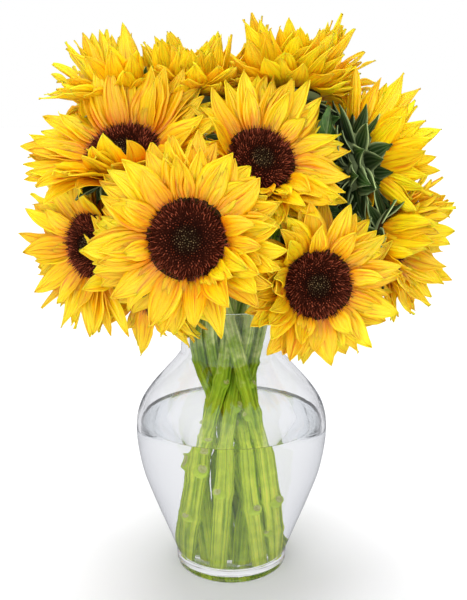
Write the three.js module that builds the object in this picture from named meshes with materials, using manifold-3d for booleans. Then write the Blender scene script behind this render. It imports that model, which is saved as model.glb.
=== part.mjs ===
// Cut sunflowers standing in a clear glass ginger-jar vase of water.
// Millimetres, +Z up. The origin is the middle of the vase's foot and the front looks along -Y.
import * as THREE from "three";
import { mergeVertices } from "three/addons/utils/BufferGeometryUtils.js";
import Module from "manifold-3d";

const wasm = await Module();
wasm.setup();

// Vase: outer radius at each height, glass thickness and how finely it is turned
const VASE_OUTER = [
  [40.2, 0],
  [42.4, 3],
  [42.8, 12],
  [50.0, 31],
  [60.0, 57],
  [68.0, 81],
  [71.8, 107],
  [69.8, 125],
  [61.5, 140],
  [41.0, 164],
  [37.6, 173],
  [37.5, 194],
  [39.2, 203.5],
];
const RIM_HEIGHT = 206;
const WALL = 2.6;
const FLOOR = 8;
const VASE_SIDES = 28;

// Water: its level and the hair of room it keeps from the glass and the stems
const WATER_LEVEL = 117;
const ROOM = 0.35;
const STEM_ROOM = 0.6;

// Stems: heights of the rings below the rim, sides and clearances
const STEM_LEVELS = [FLOOR + 0.3, 44, 80, 117, 136, 158, 182, RIM_HEIGHT];
const WAIST = 130;
const STEM_SIDES = 6;
const STEM_SLANT = 1.07;
const STEM_GAP = 0.7;
const STEM_ROUNDS = 500;
const NECK_REACH = 16;

// Heads: sides of the round parts, heights along the head's own axis
const DISC_SIDES = 12;
const SEAT = -3;
const SEAT_GAP = 0.3;
const CALYX_DEPTH = 21;

// Petals, bracts and leaves: steps along each one, clearance, how many a head bears, and the usual
// length, width and tilt of a bract
const STEPS = 12;
const CLEAR = 0.35;
const PETALS = 24;
const BRACTS = 12;
const BRACT_SIZE = [27, 11.5, -26];

// Each kind of blade: keel thickness, share of the width at chosen steps, where its root sits on
// its facet, and the ways in which it may give to what stands there (tilt in degrees, share of length)
const PETAL = {
  keel: 1.5,
  rows: [
    [0, 0.3],
    [3, 1],
    [8, 0.8],
  ],
  ways: [
    [0, 1],
    [-9, 1],
    [9, 1],
    [-18, 1],
    [18, 1],
    [-28, 1],
    [28, 1],
    [-40, 1],
    [40, 1],
    [0, 0.8],
    [-20, 0.8],
    [20, 0.8],
    [-40, 0.75],
    [40, 0.75],
    [-55, 0.8],
    [58, 0.8],
    [0, 0.55],
    [-30, 0.5],
    [35, 0.5],
  ],
};
const BRACT = {
  keel: 1.6,
  rows: [
    [0, 0.6],
    [4, 1],
    [8, 0.45],
  ],
  ways: [
    [0, 1],
    [-12, 1],
    [-24, 1],
    [-36, 1],
    [8, 0.9],
    [-48, 0.9],
    [-60, 0.8],
    [-20, 0.7],
    [-50, 0.5],
  ],
};
const LEAF = {
  keel: 1.6,
  rows: [
    [0, 0.12],
    [1, 0.16],
    [3, 0.86],
    [5, 1],
    [7, 0.82],
    [9, 0.5],
  ],
  ways: [
    [0, 1],
    [14, 1],
    [-14, 1],
    [26, 1],
    [-26, 1],
    [0, 0.8],
    [20, 0.75],
    [-20, 0.75],
    [38, 0.8],
    [-38, 0.8],
    [0, 0.6],
  ],
};

// The blooms, nearest first. Centre of the disc, the way it faces (turn about Z from +X, lift above
// level), disc radius, petal length and width, cup (forward tilt) and curl of the petals, lean
// (extra tilt, and the side that gets it), its bracts where they aren't the usual ones, the stem's
// radius and how readily it moves aside, and the places it passes at the floor, waist and rim
const BLOOMS = [
  {
    name: "front",
    seed: 11,
    centre: [-27, -88, 266],
    face: [-95, 8],
    disc: 25,
    petal: [39, 16.5],
    cup: [7, -4],
    lean: [38, -58],
    stem: [5.4, 0.3],
    foot: [29, -13],
    waist: [9.5, -17],
    rim: [-4, -25],
  },
  {
    name: "lower_right",
    seed: 23,
    centre: [57, -62, 232],
    face: [-83, 2],
    disc: 22.6,
    petal: [35, 15.5],
    cup: [10, -6],
    lean: [46, 168],
    stem: [5.2, 0.5],
    foot: [-9, -27],
    waist: [-4, -8],
    rim: [14, -22],
  },
  {
    name: "low_left",
    seed: 37,
    centre: [-59, -46, 228],
    face: [-118, -22],
    disc: 20,
    petal: [35, 14.5],
    cup: [2, -10],
    lean: [0, 0],
    stem: [5.0, 0.6],
    foot: [19, -23],
    waist: [-4, 1],
    rim: [-19, -19],
  },
  {
    name: "upper_left",
    seed: 41,
    centre: [-72, -38, 317],
    face: [-102, 46],
    disc: 24,
    petal: [45, 16.5],
    cup: [10, -6],
    lean: [55, -75],
    stem: [5.2, 1],
    foot: [26, 4],
    waist: [-13, -9],
    rim: [-20, -8],
  },
  {
    name: "upper_middle",
    seed: 53,
    centre: [20, -42, 312],
    face: [-72, 30],
    disc: 22.5,
    petal: [39, 15.5],
    cup: [12, -6],
    lean: [38, -95],
    stem: [5.4, 0.3],
    foot: [-29, -13],
    waist: [-15.5, -18],
    rim: [-1, -12],
  },
  {
    name: "left",
    seed: 67,
    centre: [-97, -30, 253],
    face: [-128, 3],
    disc: 22,
    petal: [45, 15.5],
    cup: [4, -4],
    lean: [0, 0],
    stem: [5.0, 0.5],
    foot: [12, 22],
    waist: [-13, 3],
    rim: [-28, -1],
  },
  {
    name: "far_right",
    seed: 71,
    centre: [113, -22, 255],
    face: [-35, -5],
    disc: 21,
    petal: [38, 15],
    cup: [45, -10],
    lean: [35, 120],
    stem: [5.0, 1],
    foot: [-25, 4],
    waist: [8, 12],
    rim: [22, 10],
  },
  {
    name: "right_side",
    seed: 83,
    centre: [91, 3, 305],
    face: [24, 10],
    disc: 23,
    petal: [47, 16],
    cup: [32, -4],
    lean: [0, 0],
    bracts: [31, 15, -6],
    stem: [5.0, 0.5],
    foot: [-14, 20],
    waist: [10, 2],
    rim: [25, -3],
  },
  {
    name: "top_middle",
    seed: 97,
    centre: [-29, 14, 352],
    face: [100, 78],
    disc: 21,
    petal: [40, 15],
    cup: [56, -8],
    lean: [0, 0],
    stem: [4.8, 1],
    foot: [-2, 10],
    waist: [-6, 11],
    rim: [-9, 7],
  },
  {
    name: "top_right",
    seed: 101,
    centre: [40, 16, 356],
    face: [80, 76],
    disc: 22,
    petal: [48, 15.5],
    cup: [48, -8],
    lean: [0, 0],
    stem: [4.8, 1],
    foot: [-12, -3],
    waist: [2, 6],
    rim: [10, 9],
  },
  {
    name: "top_left",
    seed: 113,
    centre: [-75, 16, 352],
    face: [115, 76],
    disc: 21,
    petal: [42, 15],
    cup: [55, -8],
    lean: [0, 0],
    stem: [4.8, 1],
    foot: [22, 14],
    waist: [-15, 14],
    rim: [-25, 12],
  },
  {
    name: "back",
    seed: 127,
    centre: [-4, 85, 262],
    face: [92, 12],
    disc: 24,
    petal: [40, 16],
    cup: [9, -5],
    lean: [0, 0],
    stem: [5.2, 1],
    foot: [6, -10],
    waist: [3, 20],
    rim: [1, 25],
  },
];

// Leaves: the bloom whose stem bears it, place along the stem above the rim, way it points
// (turn, rise), length and width
const LEAVES = [
  { on: "lower_right", at: 0.3, turn: -8, rise: -18, size: [46, 26] },
  { on: "upper_middle", at: 0.35, turn: -40, rise: 5, size: [48, 26] },
  { on: "upper_left", at: 0.45, turn: -150, rise: -5, size: [46, 24] },
  { on: "front", at: 0.3, turn: -30, rise: -10, size: [40, 22] },
  { on: "low_left", at: 0.3, turn: 190, rise: -12, size: [34, 20] },
  { on: "right_side", at: 0.4, turn: -60, rise: -20, size: [46, 26] },
  { on: "top_left", at: 0.35, turn: 150, rise: 0, size: [52, 30] },
  { on: "top_right", at: 0.3, turn: 60, rise: 5, size: [54, 30] },
  { on: "back", at: 0.35, turn: 150, rise: -8, size: [52, 30] },
  { on: "right_side", at: 0.25, turn: 40, rise: -5, size: [50, 28] },
  { on: "back", at: 0.3, turn: 30, rise: -4, size: [54, 30] },
  { on: "top_middle", at: 0.3, turn: 95, rise: 12, size: [50, 28] },
  { on: "left", at: 0.45, turn: 120, rise: 4, size: [48, 27] },
  { on: "far_right", at: 0.5, turn: 60, rise: 0, size: [48, 27] },
  { on: "top_right", at: 0.6, turn: 20, rise: -12, size: [44, 26] },
  { on: "top_left", at: 0.6, turn: 100, rise: -12, size: [44, 26] },
];

// Colours and finishes
const LOOKS = {
  glass: { color: 0xe6eef0, roughness: 0.03, metalness: 0, transparent: true, opacity: 0.35 },
  water: { color: 0xdfe9ea, roughness: 0.02, metalness: 0, transparent: true, opacity: 0.3 },
  green: { color: 0x5f8a35, roughness: 0.6, metalness: 0 },
  yellow: { color: 0xffc915, roughness: 0.55, metalness: 0 },
  brown: { color: 0x46201a, roughness: 0.85, metalness: 0 },
};

const Z = new THREE.Vector3(0, 0, 1);
const rad = THREE.MathUtils.degToRad;

// Seeded draws between -1 and 1
function draws(seed) {
  let state = seed;
  const draw = () => {
    state = (state * 16807) % 2147483647;
    return (2 * state) / 2147483647 - 1;
  };
  draw();
  draw();
  return draw;
}

// Solid of shared points and triangles, turned to face outwards
function solidOfFaces(points, faces) {
  const vertProperties = new Float32Array(points.flatMap((p) => p.toArray()));
  const make = (list) =>
    new wasm.Manifold(
      new wasm.Mesh({ numProp: 3, vertProperties, triVerts: new Uint32Array(list.flat()) }),
    );
  const made = make(faces);
  return made.volume() < 0 ? make(faces.map(([a, b, c]) => [a, c, b])) : made;
}

// Solid of a three.js geometry
function solidOfGeometry(geometry) {
  geometry.deleteAttribute("normal");
  geometry.deleteAttribute("uv");
  const merged = mergeVertices(geometry, 1e-4);
  const position = merged.getAttribute("position");
  const points = [];
  for (let i = 0; i < position.count; i++) {
    points.push(new THREE.Vector3().fromBufferAttribute(position, i));
  }
  const index = merged.index.array;
  const faces = [];
  for (let i = 0; i < index.length; i += 3) {
    const face = [index[i], index[i + 1], index[i + 2]];
    if (new Set(face).size === 3) faces.push(face);
  }
  return solidOfFaces(points, faces);
}

// Solid turned about Z from a profile of [radius, height]
function turned(profile, sides) {
  const points = profile.map(([r, z]) => new THREE.Vector2(r, z));
  return solidOfGeometry(new THREE.LatheGeometry(points, sides).rotateX(Math.PI / 2));
}

// Solid drawn through rings of points, ending in a flat cap or at a tip
function loft(rings, tip) {
  const sides = rings[0].length;
  const points = rings.flat();
  const faces = [];
  for (let i = 1; i < sides - 1; i++) faces.push([0, i + 1, i]);
  for (let r = 0; r < rings.length - 1; r++) {
    for (let i = 0; i < sides; i++) {
      const a = r * sides + i;
      const b = r * sides + ((i + 1) % sides);
      faces.push([a, b, b + sides], [a, b + sides, a + sides]);
    }
  }
  const last = (rings.length - 1) * sides;
  if (tip) {
    points.push(tip);
    for (let i = 0; i < sides; i++) {
      faces.push([last + i, last + ((i + 1) % sides), points.length - 1]);
    }
  } else {
    for (let i = 1; i < sides - 1; i++) faces.push([last, last + i, last + i + 1]);
  }
  return solidOfFaces(points, faces);
}

// The largest body of a solid
function largest(made) {
  const bodies = made.decompose();
  bodies.sort((a, b) => b.volume() - a.volume());
  return bodies[0];
}

// Whether two solids share room
function crosses(a, b) {
  const p = a.boundingBox();
  const q = b.boundingBox();
  for (let i = 0; i < 3; i++) {
    if (p.min[i] > q.max[i] || q.min[i] > p.max[i]) return false;
  }
  return a.intersect(b).volume() > 0;
}

// A value read off a list of [value, height]
function valueAt(list, height) {
  for (let i = 1; i < list.length; i++) {
    const [a, low] = list[i - 1];
    const [b, high] = list[i];
    if (height <= high) return a + ((b - a) * (height - low)) / (high - low);
  }
  return list[list.length - 1][0];
}

// Glass inside radius at a height
function innerRadius(height) {
  return valueAt(VASE_OUTER, height) - WALL;
}

// Inner profile of the glass from the floor up, drawn in by the given room
function innerProfile(room) {
  const profile = [[0, FLOOR + room]];
  profile.push([innerRadius(FLOOR) - 1.2 - room, FLOOR + room]);
  for (const [r, z] of VASE_OUTER) {
    if (z > FLOOR + 2) profile.push([r - WALL - room, z]);
  }
  return profile;
}

// Vase
const lip = [
  [39.0, RIM_HEIGHT],
  [37.6, RIM_HEIGHT],
];
const vaseProfile = [[0, 0], ...VASE_OUTER, ...lip, ...innerProfile(0).reverse()];
const vase = turned(vaseProfile, VASE_SIDES);

// Where a stem is aimed at a height below the rim
function aimed(bloom, z) {
  const low = z < WAIST;
  const [from, to] = low ? [bloom.foot, bloom.waist] : [bloom.waist, bloom.rim];
  const t = low ? (z - FLOOR) / (WAIST - FLOOR) : (z - WAIST) / (RIM_HEIGHT - WAIST);
  return [from[0] + (to[0] - from[0]) * t, from[1] + (to[1] - from[1]) * t];
}

// Lays the stems side by side: each starts where it is aimed and they push one another apart
function laidStems() {
  const paths = BLOOMS.map((bloom) => STEM_LEVELS.map((z) => aimed(bloom, z)));
  const levels = STEM_LEVELS.length;
  for (let round = 0; round < STEM_ROUNDS; round++) {
    const easing = round < STEM_ROUNDS * 0.7 ? 0.06 : 0;
    for (let i = 0; i < paths.length; i++) {
      for (let j = i + 1; j < paths.length; j++) {
        const [ri, mi] = BLOOMS[i].stem;
        const [rj, mj] = BLOOMS[j].stem;
        const need = (ri + rj) * STEM_SLANT + STEM_GAP;
        for (let l = 0; l < levels; l++) {
          for (const f of l === levels - 1 ? [0] : [0, 0.25, 0.5, 0.75]) {
            const k = Math.min(l + 1, levels - 1);
            const a = paths[i];
            const b = paths[j];
            const dx = a[l][0] + (a[k][0] - a[l][0]) * f - b[l][0] - (b[k][0] - b[l][0]) * f;
            const dy = a[l][1] + (a[k][1] - a[l][1]) * f - b[l][1] - (b[k][1] - b[l][1]) * f;
            const apart = Math.hypot(dx, dy) + 1e-9;
            if (apart >= need) continue;
            const push = (0.5 * (need - apart)) / apart / (mi + mj);
            for (const [level, share] of [
              [l, 1 - f],
              [k, f],
            ]) {
              a[level][0] += dx * push * mi * share;
              a[level][1] += dy * push * mi * share;
              b[level][0] -= dx * push * mj * share;
              b[level][1] -= dy * push * mj * share;
            }
          }
        }
      }
    }
    paths.forEach((path, i) => {
      for (let l = 1; l < levels - 1; l++) {
        for (const c of [0, 1]) {
          path[l][c] += easing * ((path[l - 1][c] + path[l + 1][c]) / 2 - path[l][c]);
        }
      }
      for (let l = 0; l < levels; l++) {
        const z = STEM_LEVELS[l];
        const above = Math.min(z + NECK_REACH, RIM_HEIGHT);
        const wall = l === 0 ? innerRadius(z) - 1.2 : Math.min(innerRadius(z), innerRadius(above));
        const most = wall * Math.cos(Math.PI / VASE_SIDES) - BLOOMS[i].stem[0] * STEM_SLANT - 0.6;
        const out = Math.hypot(...path[l]);
        if (out > most) path[l] = [(path[l][0] * most) / out, (path[l][1] * most) / out];
      }
    });
  }
  return paths;
}

// The head's own axes: along its face, to its right and up it
function headFrame(bloom) {
  const [turn, lift] = bloom.face.map(rad);
  const n = new THREE.Vector3(
    Math.cos(lift) * Math.cos(turn),
    Math.cos(lift) * Math.sin(turn),
    Math.sin(lift),
  );
  const right = new THREE.Vector3().crossVectors(Z, n).normalize();
  const up = new THREE.Vector3().crossVectors(n, right);
  return { centre: new THREE.Vector3(...bloom.centre), n, right, up };
}

// A point of the head at an angle round it, a radius and a height along its axis
function headPoint(frame, angle, radius, height) {
  return frame.centre
    .clone()
    .addScaledVector(frame.right, Math.cos(angle) * radius)
    .addScaledVector(frame.up, Math.sin(angle) * radius)
    .addScaledVector(frame.n, height);
}

// Middle line of a stem from its foot to the inside of the calyx
function stemLine(bloom, path) {
  const points = path.map(([x, y], l) => new THREE.Vector3(x, y, STEM_LEVELS[l]));
  const frame = headFrame(bloom);
  const rim = points[points.length - 1];
  const climb = rim.clone().sub(points[points.length - 2]).normalize();
  const end = frame.centre.clone().addScaledVector(frame.n, SEAT - CALYX_DEPTH + 4);
  const reach = rim.distanceTo(end) * 0.42;
  const curve = new THREE.CubicBezierCurve3(
    rim,
    rim.clone().addScaledVector(climb, reach),
    end.clone().addScaledVector(frame.n, -reach),
    end,
  );
  for (const t of [0.25, 0.5, 0.75, 1]) points.push(curve.getPoint(t));
  return { points, curve };
}

// Rings of a tube along points, the first one level
function tubeRings(points, radius, sides) {
  const rings = [];
  const side = new THREE.Vector3(1, 0, 0);
  points.forEach((point, i) => {
    const ahead = points[Math.min(i + 1, points.length - 1)];
    const behind = points[Math.max(i - 1, 0)];
    const along = i === 0 ? Z.clone() : ahead.clone().sub(behind).normalize();
    side.addScaledVector(along, -side.dot(along)).normalize();
    const other = new THREE.Vector3().crossVectors(along, side);
    const ring = [];
    for (let k = 0; k < sides; k++) {
      const a = (2 * Math.PI * k) / sides;
      ring.push(
        point
          .clone()
          .addScaledVector(side, Math.cos(a) * radius)
          .addScaledVector(other, Math.sin(a) * radius),
      );
    }
    rings.push(ring);
  });
  return rings;
}

// A ring of points round a head
function headRing(frame, sides, radius, height) {
  const ring = [];
  for (let i = 0; i < sides; i++) {
    ring.push(headPoint(frame, (2 * Math.PI * i) / sides, radius, height));
  }
  return ring;
}

// Disc of florets: a low dome with a hollow middle and a grain of raised and sunk points
function discSolid(frame, radius) {
  const rows = [
    [1, SEAT + SEAT_GAP, 0],
    [1, 2, 0],
    [0.8, 5.2, 0.5],
    [0.42, 5.0, 0.5],
  ];
  const rings = rows.map(([share, height, grain], row) =>
    headRing(frame, DISC_SIDES, radius * share, height).map((point, i) =>
      point.addScaledVector(frame.n, (i + row) % 2 ? grain : -grain),
    ),
  );
  return loft(rings, headPoint(frame, 0, 0, 3.4));
}

// Middle line and cross directions of a blade that leaves a head at an angle.
// tilt and curl lift it towards the face, swerve turns it sideways, twist rolls it
function bladeRows(frame, blade) {
  const { angle, radius, height, length, tilt, curl, swerve, twist } = blade;
  const radial = frame.right
    .clone()
    .multiplyScalar(Math.cos(angle))
    .addScaledVector(frame.up, Math.sin(angle));
  const around = new THREE.Vector3().crossVectors(frame.n, radial);
  const point = headPoint(frame, angle, radius, height);
  const rows = [];
  for (let i = 0; i <= STEPS; i++) {
    const s = i / STEPS;
    const lift = tilt + curl * s;
    const turn = swerve * s;
    const flat = radial
      .clone()
      .multiplyScalar(Math.cos(turn))
      .addScaledVector(around, Math.sin(turn));
    const along = flat.clone().multiplyScalar(Math.cos(lift)).addScaledVector(frame.n, Math.sin(lift));
    const back = flat.clone().multiplyScalar(-Math.sin(lift)).addScaledVector(frame.n, Math.cos(lift));
    const across = new THREE.Vector3().crossVectors(back, along);
    const roll = twist * s;
    const side = across
      .clone()
      .multiplyScalar(Math.cos(roll))
      .addScaledVector(back, Math.sin(roll));
    const normal = back
      .clone()
      .multiplyScalar(Math.cos(roll))
      .addScaledVector(across, -Math.sin(roll));
    rows.push({ point: point.clone(), side, normal });
    point.addScaledVector(along, length / STEPS);
  }
  return rows;
}

// Sections of a blade, each an edge, the other edge and the keel
function bladeRings(rows, kind, width) {
  return kind.rows.map(([row, share]) => {
    const { point, side, normal } = rows[row];
    const half = (width * share) / 2;
    const depth = kind.keel * (1 - (0.4 * row) / STEPS);
    return [
      point.clone().addScaledVector(side, half),
      point.clone().addScaledVector(side, -half),
      point.clone().addScaledVector(normal, -depth),
    ];
  });
}

// The same section with room to spare all round it
function widened([right, left, keel]) {
  const side = right.clone().sub(left).setLength(CLEAR);
  const normal = right.clone().add(left).multiplyScalar(0.5).sub(keel).setLength(CLEAR);
  return [
    right.clone().add(side).add(normal),
    left.clone().sub(side).add(normal),
    left.clone().sub(side).sub(normal),
    keel.clone().sub(normal),
    right.clone().add(side).sub(normal),
  ];
}

// The petals a bloom is drawn with before any gives way
function petalsOf(bloom) {
  const draw = draws(bloom.seed);
  const [length, width] = bloom.petal;
  const [leanBy, leanTo] = bloom.lean;
  const petals = [];
  for (let i = 0; i < PETALS; i++) {
    const angle = (2 * Math.PI * (i + 0.5 + 0.1 * draw())) / PETALS;
    const front = i % 2 === 0;
    const lean = leanBy * Math.max(0, Math.cos(angle - rad(leanTo))) ** 2;
    petals.push({
      angle,
      radius: bloom.disc + 0.2,
      height: -0.7,
      length: length * (1 + 0.09 * draw()) * (front ? 0.97 : 1.03),
      tilt: rad(bloom.cup[0] + lean + (front ? 7 : -7) + 4 * draw()),
      curl: rad(bloom.cup[1] + 9 * draw()),
      swerve: rad(9 * draw()),
      twist: rad(9 * draw()),
      width: width * (1 + 0.1 * draw()),
    });
  }
  return petals;
}

// The bracts behind a bloom's petals
function bractsOf(bloom) {
  const draw = draws(bloom.seed + 7);
  const [length, width, tilt] = bloom.bracts ?? BRACT_SIZE;
  const bracts = [];
  for (let i = 0; i < BRACTS; i++) {
    bracts.push({
      angle: (2 * Math.PI * (i + 0.5 + 0.08 * draw())) / BRACTS,
      radius: bloom.disc - 6,
      height: -5.8,
      length: length + 3 * draw(),
      tilt: rad(tilt + 4 * draw()),
      curl: rad(4 + 12 * draw()),
      swerve: rad(12 * draw()),
      twist: 0,
      width: width + draw(),
    });
  }
  return bracts;
}

// Root of a blade on facet i of the band between two rings
function facetRoot(low, high, i) {
  const j = (i + 1) % low.length;
  const on = (x, y) =>
    low[i].clone().lerp(low[j], x).lerp(high[i].clone().lerp(high[j], x), y);
  return [on(0.8, 0.68), on(0.2, 0.68), on(0.5, 0.25)];
}

// The first way in which a blade clears everything that stands
function placedBlade(frame, blade, kind, root, standing) {
  for (const [tilt, share] of kind.ways) {
    const rows = bladeRows(frame, {
      ...blade,
      tilt: blade.tilt + rad(tilt),
      length: blade.length * share,
    });
    const rings = bladeRings(rows, kind, blade.width);
    if (root) rings[0] = root;
    const tip = rows[rows.length - 1].point;
    const wide = loft(rings.map(widened), tip.clone());
    if (!standing.some((solid) => crosses(wide, solid))) {
      return { rings, tip, made: loft(rings, tip.clone()) };
    }
  }
  return null;
}

// Joins rings of points into triangles, and gives the mesh back as a list to add to
function skin() {
  const points = [];
  const faces = [];
  const add = (point) => points.push(point) - 1;
  const addRing = (ring) => ring.map(add);
  const band = (low, high) => {
    low.forEach((a, i) => {
      const j = (i + 1) % low.length;
      faces.push([a, low[j], high[j]], [a, high[j], high[i]]);
    });
  };
  return { points, faces, add, addRing, band };
}

// A band of facets between two rings, each facet growing the blade that is given for it
function buddedBand(mesh, low, high, blades) {
  low.forEach((a, i) => {
    const j = (i + 1) % low.length;
    const [b, c, d] = [low[j], high[j], high[i]];
    if (!blades[i]) {
      mesh.faces.push([a, b, c], [a, c, d]);
      return;
    }
    const rings = blades[i].rings.map(mesh.addRing);
    const [right, left, keel] = rings[0];
    mesh.faces.push(
      [a, b, keel],
      [b, right, keel],
      [b, c, right],
      [c, left, right],
      [c, d, left],
      [d, a, left],
      [a, keel, left],
    );
    for (let r = 1; r < rings.length; r++) mesh.band(rings[r - 1], rings[r]);
    const last = rings[rings.length - 1];
    const tip = mesh.add(blades[i].tip);
    last.forEach((p, k) => mesh.faces.push([p, last[(k + 1) % 3], tip]));
  });
}

// Petals of a bloom on the collar that carries them
function petalSolid(head) {
  const { frame, bloom, petals, petalFacets } = head;
  const mesh = skin();
  const inside = mesh.addRing(headRing(frame, PETALS, bloom.disc - 1.2, SEAT + SEAT_GAP));
  const [outside, top] = petalFacets.map(mesh.addRing);
  mesh.band(inside, outside);
  buddedBand(mesh, outside, top, petals);
  mesh.band(top, inside);
  return solidOfFaces(mesh.points, mesh.faces);
}

// Stem with its calyx and bracts: a tube whose six sides part into twelve at the neck
function stemSolid(head) {
  const { frame, bloom, bracts, bractFacets } = head;
  const mesh = skin();
  const tube = tubeRings(head.points, bloom.stem[0], STEM_SIDES).map(mesh.addRing);
  for (let i = 1; i < STEM_SIDES - 1; i++) mesh.faces.push([tube[0][0], tube[0][i + 1], tube[0][i]]);
  for (let i = 1; i < tube.length; i++) mesh.band(tube[i - 1], tube[i]);
  const neck = tube[tube.length - 1];
  const collar = headRing(frame, BRACTS, 9.5, SEAT - 13);
  const first = mesh.points[neck[0]];
  let turn = 0;
  collar.forEach((point, i) => {
    if (point.distanceTo(first) < collar[turn].distanceTo(first)) turn = i;
  });
  const ring = mesh.addRing(collar);
  neck.forEach((a, i) => {
    const b = neck[(i + 1) % STEM_SIDES];
    const [p, q, r] = [0, 1, 2].map((k) => ring[(turn + 2 * i + k) % BRACTS]);
    mesh.faces.push([a, q, p], [a, b, q], [b, r, q]);
  });
  const [low, high] = bractFacets.map(mesh.addRing);
  mesh.band(ring, low);
  buddedBand(mesh, low, high, bracts);
  for (let i = 1; i < BRACTS - 1; i++) mesh.faces.push([high[0], high[i], high[i + 1]]);
  return solidOfFaces(mesh.points, mesh.faces);
}

// Everything a head is tested against before its blades are on
const stemPaths = laidStems();
const heads = BLOOMS.map((bloom, i) => {
  const frame = headFrame(bloom);
  const { points, curve } = stemLine(bloom, stemPaths[i]);
  const petalFacets = [
    headRing(frame, PETALS, bloom.disc + 3.2, SEAT + SEAT_GAP),
    headRing(frame, PETALS, bloom.disc + 0.4, 1.6),
  ];
  const bractFacets = [
    headRing(frame, BRACTS, bloom.disc - 6, SEAT - 8),
    headRing(frame, BRACTS, bloom.disc + 3, SEAT),
  ];
  const head = { bloom, frame, points, curve, petalFacets, bractFacets };
  Object.assign(head, { petals: [], bracts: [], leaves: [] });
  head.stalk = stemSolid(head);
  head.collar = petalSolid(head);
  head.disc = discSolid(frame, bloom.disc - 2);
  return head;
});

// Petals go on from the nearest bloom to the furthest, each clear of all that stands
const standing = [vase];
for (const head of heads) standing.push(head.stalk, head.disc);
for (const head of heads) {
  const others = [...standing];
  for (const other of heads) if (other !== head) others.push(other.collar);
  head.petals = petalsOf(head.bloom).map((petal, i) => {
    const root = facetRoot(...head.petalFacets, i);
    const placed = placedBlade(head.frame, petal, PETAL, root, others);
    if (placed) others.push(placed.made);
    return placed;
  });
  head.corolla = petalSolid(head);
  standing.push(head.corolla);
}

// Bracts next, then leaves
for (const head of heads) {
  const others = standing.filter((solid) => solid !== head.stalk);
  head.bracts = bractsOf(head.bloom).map((bract, i) => {
    const root = facetRoot(...head.bractFacets, i);
    const placed = placedBlade(head.frame, bract, BRACT, root, others);
    if (placed) others.push(placed.made);
    return placed;
  });
  head.green = stemSolid(head);
  standing.push(head.green);
}

// A leaf's frame stands on the stem, its face up and its first direction outwards
function leafFrame(head, leaf) {
  const centre = head.curve.getPoint(leaf.at);
  const out = new THREE.Vector3(Math.cos(rad(leaf.turn)), Math.sin(rad(leaf.turn)), 0);
  return { centre, n: Z.clone(), right: out, up: new THREE.Vector3().crossVectors(Z, out) };
}

for (const leaf of LEAVES) {
  const head = heads.find((h) => h.bloom.name === leaf.on);
  const others = standing.filter((solid) => solid !== head.stalk && solid !== head.green);
  const blade = {
    angle: 0,
    radius: 1,
    height: 0,
    length: leaf.size[0],
    width: leaf.size[1],
    tilt: rad(leaf.rise),
    curl: rad(-34),
    swerve: rad(10),
    twist: rad(6),
  };
  const placed = placedBlade(leafFrame(head, leaf), blade, LEAF, null, others);
  if (placed) {
    head.leaves.push(placed.made);
    standing.push(placed.made);
  }
}

// Water, with a plain hole round each stem
const waterProfile = innerProfile(ROOM).filter(([, z]) => z < WATER_LEVEL);
waterProfile.push([innerRadius(WATER_LEVEL) - ROOM, WATER_LEVEL], [0, WATER_LEVEL]);
const holes = heads.map((head) => {
  const rings = tubeRings(head.points, head.bloom.stem[0] + STEM_ROOM, STEM_SIDES).slice(0, 6);
  const below = rings[0].map((point) => point.clone().setZ(FLOOR - 4));
  return loft([below, ...rings]);
});
const water = largest(turned(waterProfile, VASE_SIDES).subtract(wasm.Manifold.union(holes)));

// Named mesh of a solid
function piece(name, made, look) {
  const mesh = made.getMesh();
  const geometry = new THREE.BufferGeometry();
  geometry.setAttribute("position", new THREE.BufferAttribute(mesh.vertProperties, 3));
  geometry.setIndex(new THREE.BufferAttribute(mesh.triVerts, 1));
  const material = new THREE.MeshStandardMaterial({ ...look, flatShading: true });
  const node = new THREE.Mesh(geometry, material);
  node.name = name;
  return node;
}

const group = new THREE.Group();
group.add(piece("vase", vase, LOOKS.glass));
group.add(piece("water", water, LOOKS.water));
for (const head of heads) {
  const { name } = head.bloom;
  const stem = head.leaves.length ? wasm.Manifold.union([head.green, ...head.leaves]) : head.green;
  group.add(piece(`${name}_stem`, largest(stem), LOOKS.green));
  group.add(piece(`${name}_petals`, head.corolla, LOOKS.yellow));
  group.add(piece(`${name}_disc`, head.disc, LOOKS.brown));
}

export default group;
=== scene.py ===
"""Cut sunflowers standing in a clear ginger-jar vase of water: the looks over the solid frame."""

import math
from functools import lru_cache
from itertools import combinations

import bmesh
import bpy
from bpy.props import FloatProperty, FloatVectorProperty, IntProperty, PointerProperty
from mathutils import Matrix, Vector
from mathutils.kdtree import KDTree


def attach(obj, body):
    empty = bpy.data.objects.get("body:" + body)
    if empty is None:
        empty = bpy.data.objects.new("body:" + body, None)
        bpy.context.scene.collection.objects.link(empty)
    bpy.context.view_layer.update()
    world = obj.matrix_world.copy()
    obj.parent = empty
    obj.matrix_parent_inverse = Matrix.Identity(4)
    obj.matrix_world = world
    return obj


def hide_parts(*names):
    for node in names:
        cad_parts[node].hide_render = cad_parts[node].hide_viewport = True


bl_info = {
    "name": "Sunflowers in a Vase",
    "version": (1, 0, 0),
    "blender": (4, 5, 0),
    "location": "3D View > Sidebar > Sunflowers",
    "description": "Dresses the frame of a vase of sunflowers, piece by piece",
    "category": "Object",
}

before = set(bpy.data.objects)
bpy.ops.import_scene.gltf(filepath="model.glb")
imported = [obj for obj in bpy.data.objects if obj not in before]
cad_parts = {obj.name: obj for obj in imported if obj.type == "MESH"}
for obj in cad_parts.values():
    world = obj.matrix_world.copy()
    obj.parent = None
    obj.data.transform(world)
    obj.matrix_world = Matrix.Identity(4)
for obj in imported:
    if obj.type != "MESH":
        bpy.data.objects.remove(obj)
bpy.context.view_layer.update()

MM = 0.001
X = Vector((1, 0, 0))
Z = Vector((0, 0, 1))

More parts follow.
